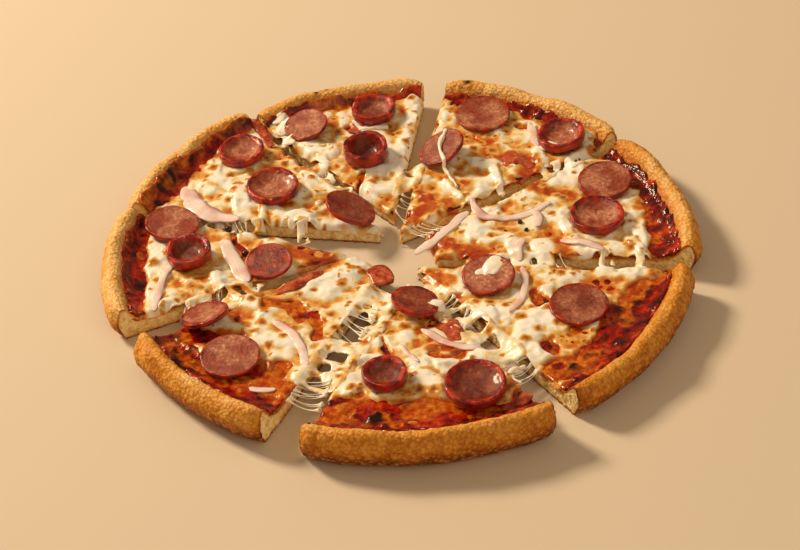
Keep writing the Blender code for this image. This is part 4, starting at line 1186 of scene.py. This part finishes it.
def dollops():
    """The bits of cheese on the pepperoni and the drips, run together into rounded lumps."""
    bm = bmesh.new()
    for node, (x, y), length, width, way, height in DOLLOPS:
        foot, axis, radius, curl = DISCS[node]
        off = np.array((x, y)) - foot[:2]
        z = foot[2] - off @ axis[:2] / axis[2] + DISC_THICK
        lean = Vector(axis).to_track_quat("Z", "Y").to_matrix().to_4x4()
        size = Matrix.Diagonal((length / 2, width / 2, height, 1))
        place = Matrix.Translation((x, y, z)) @ lean @ Matrix.Rotation(radians(way), 4, "Z") @ size
        bmesh.ops.create_icosphere(bm, subdivisions=4, radius=1, matrix=place)
    routes = []
    for places, radii in DRIPS:
        along = np.linspace(0, len(radii) - 1, 12)
        routes.append((smooth_route(places, 12), np.interp(along, np.arange(len(radii)), radii)))
    for node, places, size in STRINGS:
        route = smooth_route([(*place, 0) for place in places], 24)
        foot, axis, radius, curl = DISCS[node]
        off = route[:, :2] - foot[:2]
        on_disc = foot[2] - off @ axis[:2] / axis[2] + curl + DISC_THICK
        letter = max(SLICES, key=lambda each: depth_in(SLICES[each], foot[None, :2])[0])
        share = ease((1.15 - np.hypot(*off.T) / radius) / 0.25)
        route[:, 2] = 0.4 * size + share * on_disc + (1 - share) * cheese_level(letter, route[:, :2])
        routes.append((route, size * (1 + 0.35 * noise(route, 6, 99))))
    bm.from_mesh(tube_mesh(routes))
    mesh = mesh_from(bm)
    co = read(mesh)
    shaken = co.copy()
    shaken[:, 0] += 1.3 * noise(co, 4, 95)
    shaken[:, 1] += 1.3 * noise(co, 4, 96)
    shaken[:, 2] += 0.6 * noise(co, 3, 97)
    mesh.vertices.foreach_set("co", shaken.astype(np.float32).ravel())
    mesh = remeshed(mesh, DOLLOP_VOXEL)
    co = read(mesh)
    values = {"thin": np.clip(0.05 + 0.15 * noise(co, 5, 98), 0, 1), "brown": np.zeros(len(co))}
    finish_piece("cheese_dollops", mesh, co, values, melted, [])


dollops()


# Onion: thin curved slices of red onion, softened in the oven. They are glassy and pale pink, with fine
# lengthwise veins and the skin's purple along one edge.
STRIP_CELL = 0.7
STRIP_STEPS = 80

# Each strip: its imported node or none, slice, places along it, width, thickness, lift at each place
ONION = [
    ("onion_01", "a", [(-125, 76), (-119, 60), (-110, 47), (-92, 40)], 11.0, 0.8, (0.4, 0.2, 0.2, 0.1)),
    ("onion_02", "h", [(-101, 22), (-96, 6), (-90, -8), (-86, -18)], 8.5, 1.1, (0.2, 0.8, 0.8, 0.2)),
    ("onion_03", "h", [(-129, 2), (-134, -14), (-136, -28), (-137, -40)], 4.2, 1.0, (1.0, 0.8, 0.6, 0.2)),
    ("onion_04", "g", [(-72, -55), (-62, -65), (-56, -79), (-54, -94)], 5.4, 1.0, (0.3, 0.6, 0.6, 0.3)),
    ("onion_05", "g", [(-84, -107), (-77, -109), (-70, -109)], 3.6, 1.3, (0.2, 0.3, 0.2)),
    ("onion_06", "d", [(8, 1), (19, 13), (30, 24), (40, 36)], 5.2, 1.2, (1.2, 0.6, 0.4, 0.6)),
    ("onion_07", "d", [(42, 45), (46, 33), (58, 27), (74, 29), (88, 38)], 5.2, 1.2,
     (3.4, 1.6, 0.5, 0.5, 0.9)),
    ("onion_08", "c", [(82, 120), (84, 106), (85, 93)], 5.0, 1.1, (0.2, 0.8, 0.3)),
    ("onion_09", "d", [(90, 3), (99, -2), (108, -7), (113, -12)], 4.6, 1.4, (0.3, 0.4, 0.2, 0.0)),
    ("onion_10", "e", [(67, -19), (68, -32), (65, -46), (57, -60)], 3.6, 1.0, (1.4, 1.6, 0.8, 0.2)),
    ("onion_11", "f", [(8, -67), (18, -77), (28, -83), (39, -86)], 5.0, 1.0, (0.4, 0.5, 0.4, 0.2)),
    (None, "f", [(-4, -80), (1, -89), (6, -97)], 2.6, 1.2, (0.3, 0.5, 0.2)),
    (None, "d", [(69, 6), (67, -3), (66, -12)], 3.8, 1.3, (1.6, 1.0, -1.5)),
    (None, "d", [(76, 32), (80, 24), (78, 16)], 5.0, 1.4, (0.4, 0.8, 0.3)),
]

# Cooked onion: glassy and wet, pale pink to cream, purple where the skin was, with darker veins.
bulb, tree, shader, spot, purple, across = new_material("cooked_red_onion", {
    "Roughness": 0.22, "Subsurface Weight": 0.2, "Subsurface Radius": (1.0, 0.85, 0.75),
    "Subsurface Scale": 0.002,
}, ("purple", "across"))
vein_place = add(tree, "ShaderNodeCombineXYZ", {}, {"X": across})
vein = add(tree, "ShaderNodeTexNoise", {"Scale": 14.0, "Detail": 3.0},
           {"Vector": vein_place.outputs["Vector"]}).outputs["Fac"]
streaks = add(tree, "ShaderNodeValToRGB", {}, {"Fac": vein}, [
    (0.34, "#D9B8B0"), (0.47, "#F4E0DC"), (0.62, "#FFF8F8"),
]).outputs["Color"]
tint = add(tree, "ShaderNodeTexNoise", {"Scale": per(14), "Detail": 1.0}, {"Vector": spot}).outputs["Fac"]
rosy = add(tree, "ShaderNodeMapRange", {"From Min": 0.45, "From Max": 0.65},
           {"Value": tint}).outputs["Result"]
flesh = add(tree, "ShaderNodeMixRGB", {"blend_type": "MULTIPLY", "Color2": linear("#F2D6D4")},
            {"Fac": rosy, "Color1": streaks}).outputs["Color"]
skin = add(tree, "ShaderNodeMixRGB", {"Color2": linear("#8E4A5E")}, {"Fac": purple, "Color1": flesh})
tree.links.new(skin.outputs["Color"], shader.inputs["Base Color"])
relief = add(tree, "ShaderNodeBump", {"Strength": 0.4, "Distance": 0.0004}, {"Height": vein})
tree.links.new(relief.outputs["Normal"], shader.inputs["Normal"])


def strip(name, item, arch, blunt, surface, seed):
    """A thin arched strip laid along the cheese, with rounded ends."""
    node, letter, points, width, thick, lifts = item
    cut = SLICES[letter]
    route = smooth_route([(*point, lift) for point, lift in zip(points, lifts)], STRIP_STEPS)
    length = np.hypot(*np.diff(route[:, :2], axis=0).T).sum()
    bm = bmesh.new()
    bmesh.ops.create_grid(bm, x_segments=int(length / STRIP_CELL), y_segments=10, size=1)
    mesh = mesh_from(bm)
    u, v, _ = read(mesh).T
    at = (u + 1) / 2 * (STRIP_STEPS - 1)
    stations = np.arange(STRIP_STEPS)
    centre = np.column_stack([np.interp(at, stations, route[:, k]) for k in range(3)])
    heading = np.gradient(route[:, :2], axis=0)
    heading = np.column_stack([np.interp(at, stations, heading[:, k]) for k in range(2)])
    heading /= np.hypot(*heading.T)[:, None]
    side = np.column_stack([-heading[:, 1], heading[:, 0]])
    points_u = np.column_stack([length * u / 2, 0 * u, 0 * u])
    taper = np.sqrt(np.clip(1 - np.abs(u) ** blunt, 0.02, 1)) * (1 + 0.22 * noise(points_u, 6, seed))
    xy = centre[:, :2] + side * (0.5 * width * v * taper)[:, None]
    xy += side * (0.5 * noise(points_u, 9, seed + 1))[:, None]
    ground = np.maximum(cheese_level(letter, xy), TRAY_TOP + SAUCE_THICK - tip_dip(cut, xy))
    rings = np.round(at, 3)
    order, first = np.unique(rings, return_inverse=True)
    highest = np.zeros(len(order))
    np.add.at(highest, first, ground / np.bincount(first)[first])
    highest = np.convolve(np.pad(highest, 3, mode="edge"), np.ones(7) / 7, mode="valid")
    z = highest[first] + thick * 0.45 + 0.8 * centre[:, 2] + arch * (0.7 - v * v) * taper
    z += 0.35 * noise(np.column_stack([xy, z]), 4, seed + 2)
    edge_tint = ease((v - 0.5) / 0.45) * ease(0.7 + 1.5 * noise(points_u, 16, seed + 3))
    values = {"purple": 0.75 * edge_tint, "across": v + 0.05 * u}
    places = np.column_stack([xy, z])
    finish_piece(name, mesh, places, values, surface, [node] if node else [], thick=thick)


for number, item in enumerate(ONION):
    strip("onion_strip_%02d" % (number + 1), item, 0.35, 6, bulb, 100 + 3 * number)


# Ham and bits of sausage: thin scraps that folded and crisped in the oven and lie on the cheese, brick red
# with orange oil on them. Each has the same values as a strip of onion.
HAM = [
    ("ham_01", "g", [(-70, -30), (-57, -21), (-44, -12)], 6.5, 1.3, (0.2, 1.0, 1.0)),
    ("ham_02", "f", [(20, -60), (24, -68), (29, -78)], 14.0, 1.8, (0.0, 0.0, 0.0)),
    ("ham_03", "f", [(55, -132), (59, -129), (62, -124)], 7.0, 1.8, (0.2, 0.2, 0.2)),
    ("ham_04", "c", [(63, 78), (72, 82), (83, 76)], 11.0, 1.4, (-0.9, -0.2, -1.2)),
    (None, "a", [(-86, 139), (-79, 125), (-74, 110)], 6.5, 1.8, (0.4, 0.8, 0.4)),
    (None, "f", [(-16, -8), (-12, -16), (-10, -24)], 12.0, 2.4, (0.6, 1.2, 0.4)),
    (None, "b", [(-27, 120), (-22, 126), (-20, 133)], 7.0, 1.8, (0.2, 0.8, 0.2)),
]

# Cooked ham: brick red and wet with oil, with paler grains of fat.
cured, tree, shader, spot = new_material("crisped_ham", {
    "Roughness": 0.25, "Subsurface Weight": 0.08, "Subsurface Scale": 0.001,
})
meat = add(tree, "ShaderNodeTexNoise", {"Scale": per(4), "Detail": 5.0, "Roughness": 0.65},
           {"Vector": spot}).outputs["Fac"]
colour = add(tree, "ShaderNodeValToRGB", {}, {"Fac": meat}, [
    (0.30, "#701A0C"), (0.45, "#A23A1C"), (0.58, "#C2603A"), (0.74, "#D99060"),
]).outputs["Color"]
tree.links.new(colour, shader.inputs["Base Color"])
relief = add(tree, "ShaderNodeBump", {"Strength": 0.5, "Distance": 0.0006}, {"Height": meat})
tree.links.new(relief.outputs["Normal"], shader.inputs["Normal"])

for number, item in enumerate(HAM):
    strip("ham_scrap_%02d" % (number + 1), item, 0.5, 5, cured, 200 + 3 * number)


# Peppercorns: a few cracked black grains, burnt and oily, that lie on the cheese of three slices.
# Each: slice, place, radius
PEPPERCORNS = [
    ("h", (-98, 31), 2.0), ("h", (-88, 8), 2.1), ("h", (-89, 12), 1.5),
    ("d", (69, 22), 1.5), ("d", (72, 15), 1.3), ("b", (-22, 131), 1.4),
]

# Black peppercorn: a dark, wrinkled husk, browner where it has cracked.
charred, tree, shader, spot = new_material("black_peppercorn", {"Roughness": 0.25})
husk = add(tree, "ShaderNodeTexNoise", {"Scale": per(1.2), "Detail": 3.0}, {"Vector": spot}).outputs["Fac"]
husk_colour = add(tree, "ShaderNodeValToRGB", {}, {"Fac": husk}, [
    (0.4, "#120806"), (0.7, "#4A2014"),
]).outputs["Color"]
tree.links.new(husk_colour, shader.inputs["Base Color"])
bm = bmesh.new()
for letter, place, size in PEPPERCORNS:
    z = float(cheese_level(letter, np.array([place], float))[0]) + 0.5 * size
    bmesh.ops.create_icosphere(bm, subdivisions=3, radius=size, matrix=Matrix.Translation((*place, z)))
grains = mesh_from(bm)
co = read(grains)
places = co + read(grains, "vector") * (0.3 * noise(co, 1.3, 301))[:, None]
finish_piece("peppercorns", grains, places, {}, charred, [])


# Floor, light and camera: a plain pale floor under soft light from the left and behind, seen from the front
# at 38 degrees above the floor.
paper = bpy.data.materials.new("pale_floor")
paper.use_nodes = True
paper.node_tree.nodes["Principled BSDF"].inputs["Base Color"].default_value = linear("#D8CBB8")
paper.node_tree.nodes["Principled BSDF"].inputs["Roughness"].default_value = 0.8
bm = bmesh.new()
bmesh.ops.create_grid(bm, x_segments=1, y_segments=1, size=3.0)
floor = bpy.data.objects.new("floor", mesh_from(bm))
floor.data.materials.append(paper)
floor.location.z = -0.0002
bpy.context.scene.collection.objects.link(floor)


def lamp(name, place, size, power, colour):
    """A square soft light that faces the pizza."""
    light = bpy.data.lights.new(name, "AREA")
    light.size = size
    light.energy = power
    light.color = linear(colour)[:3]
    holder = bpy.data.objects.new(name, light)
    holder.location = place
    holder.rotation_euler = (-Vector(place)).to_track_quat("-Z", "Y").to_euler()
    bpy.context.scene.collection.objects.link(holder)


lamp("window", (-1.7, 1.2, 1.5), 0.5, 76.0, "#FFE6C2")
lamp("fill", (0.6, -0.9, 0.8), 1.2, 3.5, "#FFE8CC")
world = bpy.data.worlds.new("studio")
world.use_nodes = True
world.node_tree.nodes["Background"].inputs["Color"].default_value = linear("#FFDCB0")
world.node_tree.nodes["Background"].inputs["Strength"].default_value = 0.34
bpy.context.scene.world = world
bpy.context.scene.view_settings.view_transform = "Standard"

CAMERA_DISTANCE = 1300.0
CAMERA_TILT = 38.3         # degrees above the floor
CAMERA_ROLL = 3.4          # degrees, leaning left
CAMERA_LENS = 103.05
AIM = Vector((-1.0, 2.0, 0.0))
PHOTO_WIDTH = 800
AIM_ABOVE_MIDDLE = 6.5     # pixels
tilt = radians(CAMERA_TILT)
roll = radians(CAMERA_ROLL)
back = Vector((0, -cos(tilt), sin(tilt)))
level_up = Vector((0, sin(tilt), cos(tilt)))
right = Vector((1, 0, 0)) * cos(roll) - level_up * sin(roll)
up = Vector((1, 0, 0)) * sin(roll) + level_up * cos(roll)
lens = bpy.data.cameras.new("camera")
lens.sensor_width = 36.0
lens.lens = CAMERA_LENS
lens.shift_y = -AIM_ABOVE_MIDDLE / PHOTO_WIDTH
lens.clip_start = 0.05
lens.clip_end = 20.0
camera = bpy.data.objects.new("camera", lens)
pose = Matrix((right, up, back)).transposed().to_4x4()
pose.translation = (AIM + back * CAMERA_DISTANCE) * MM
camera.matrix_world = pose
bpy.context.scene.collection.objects.link(camera)
bpy.context.scene.camera = camera
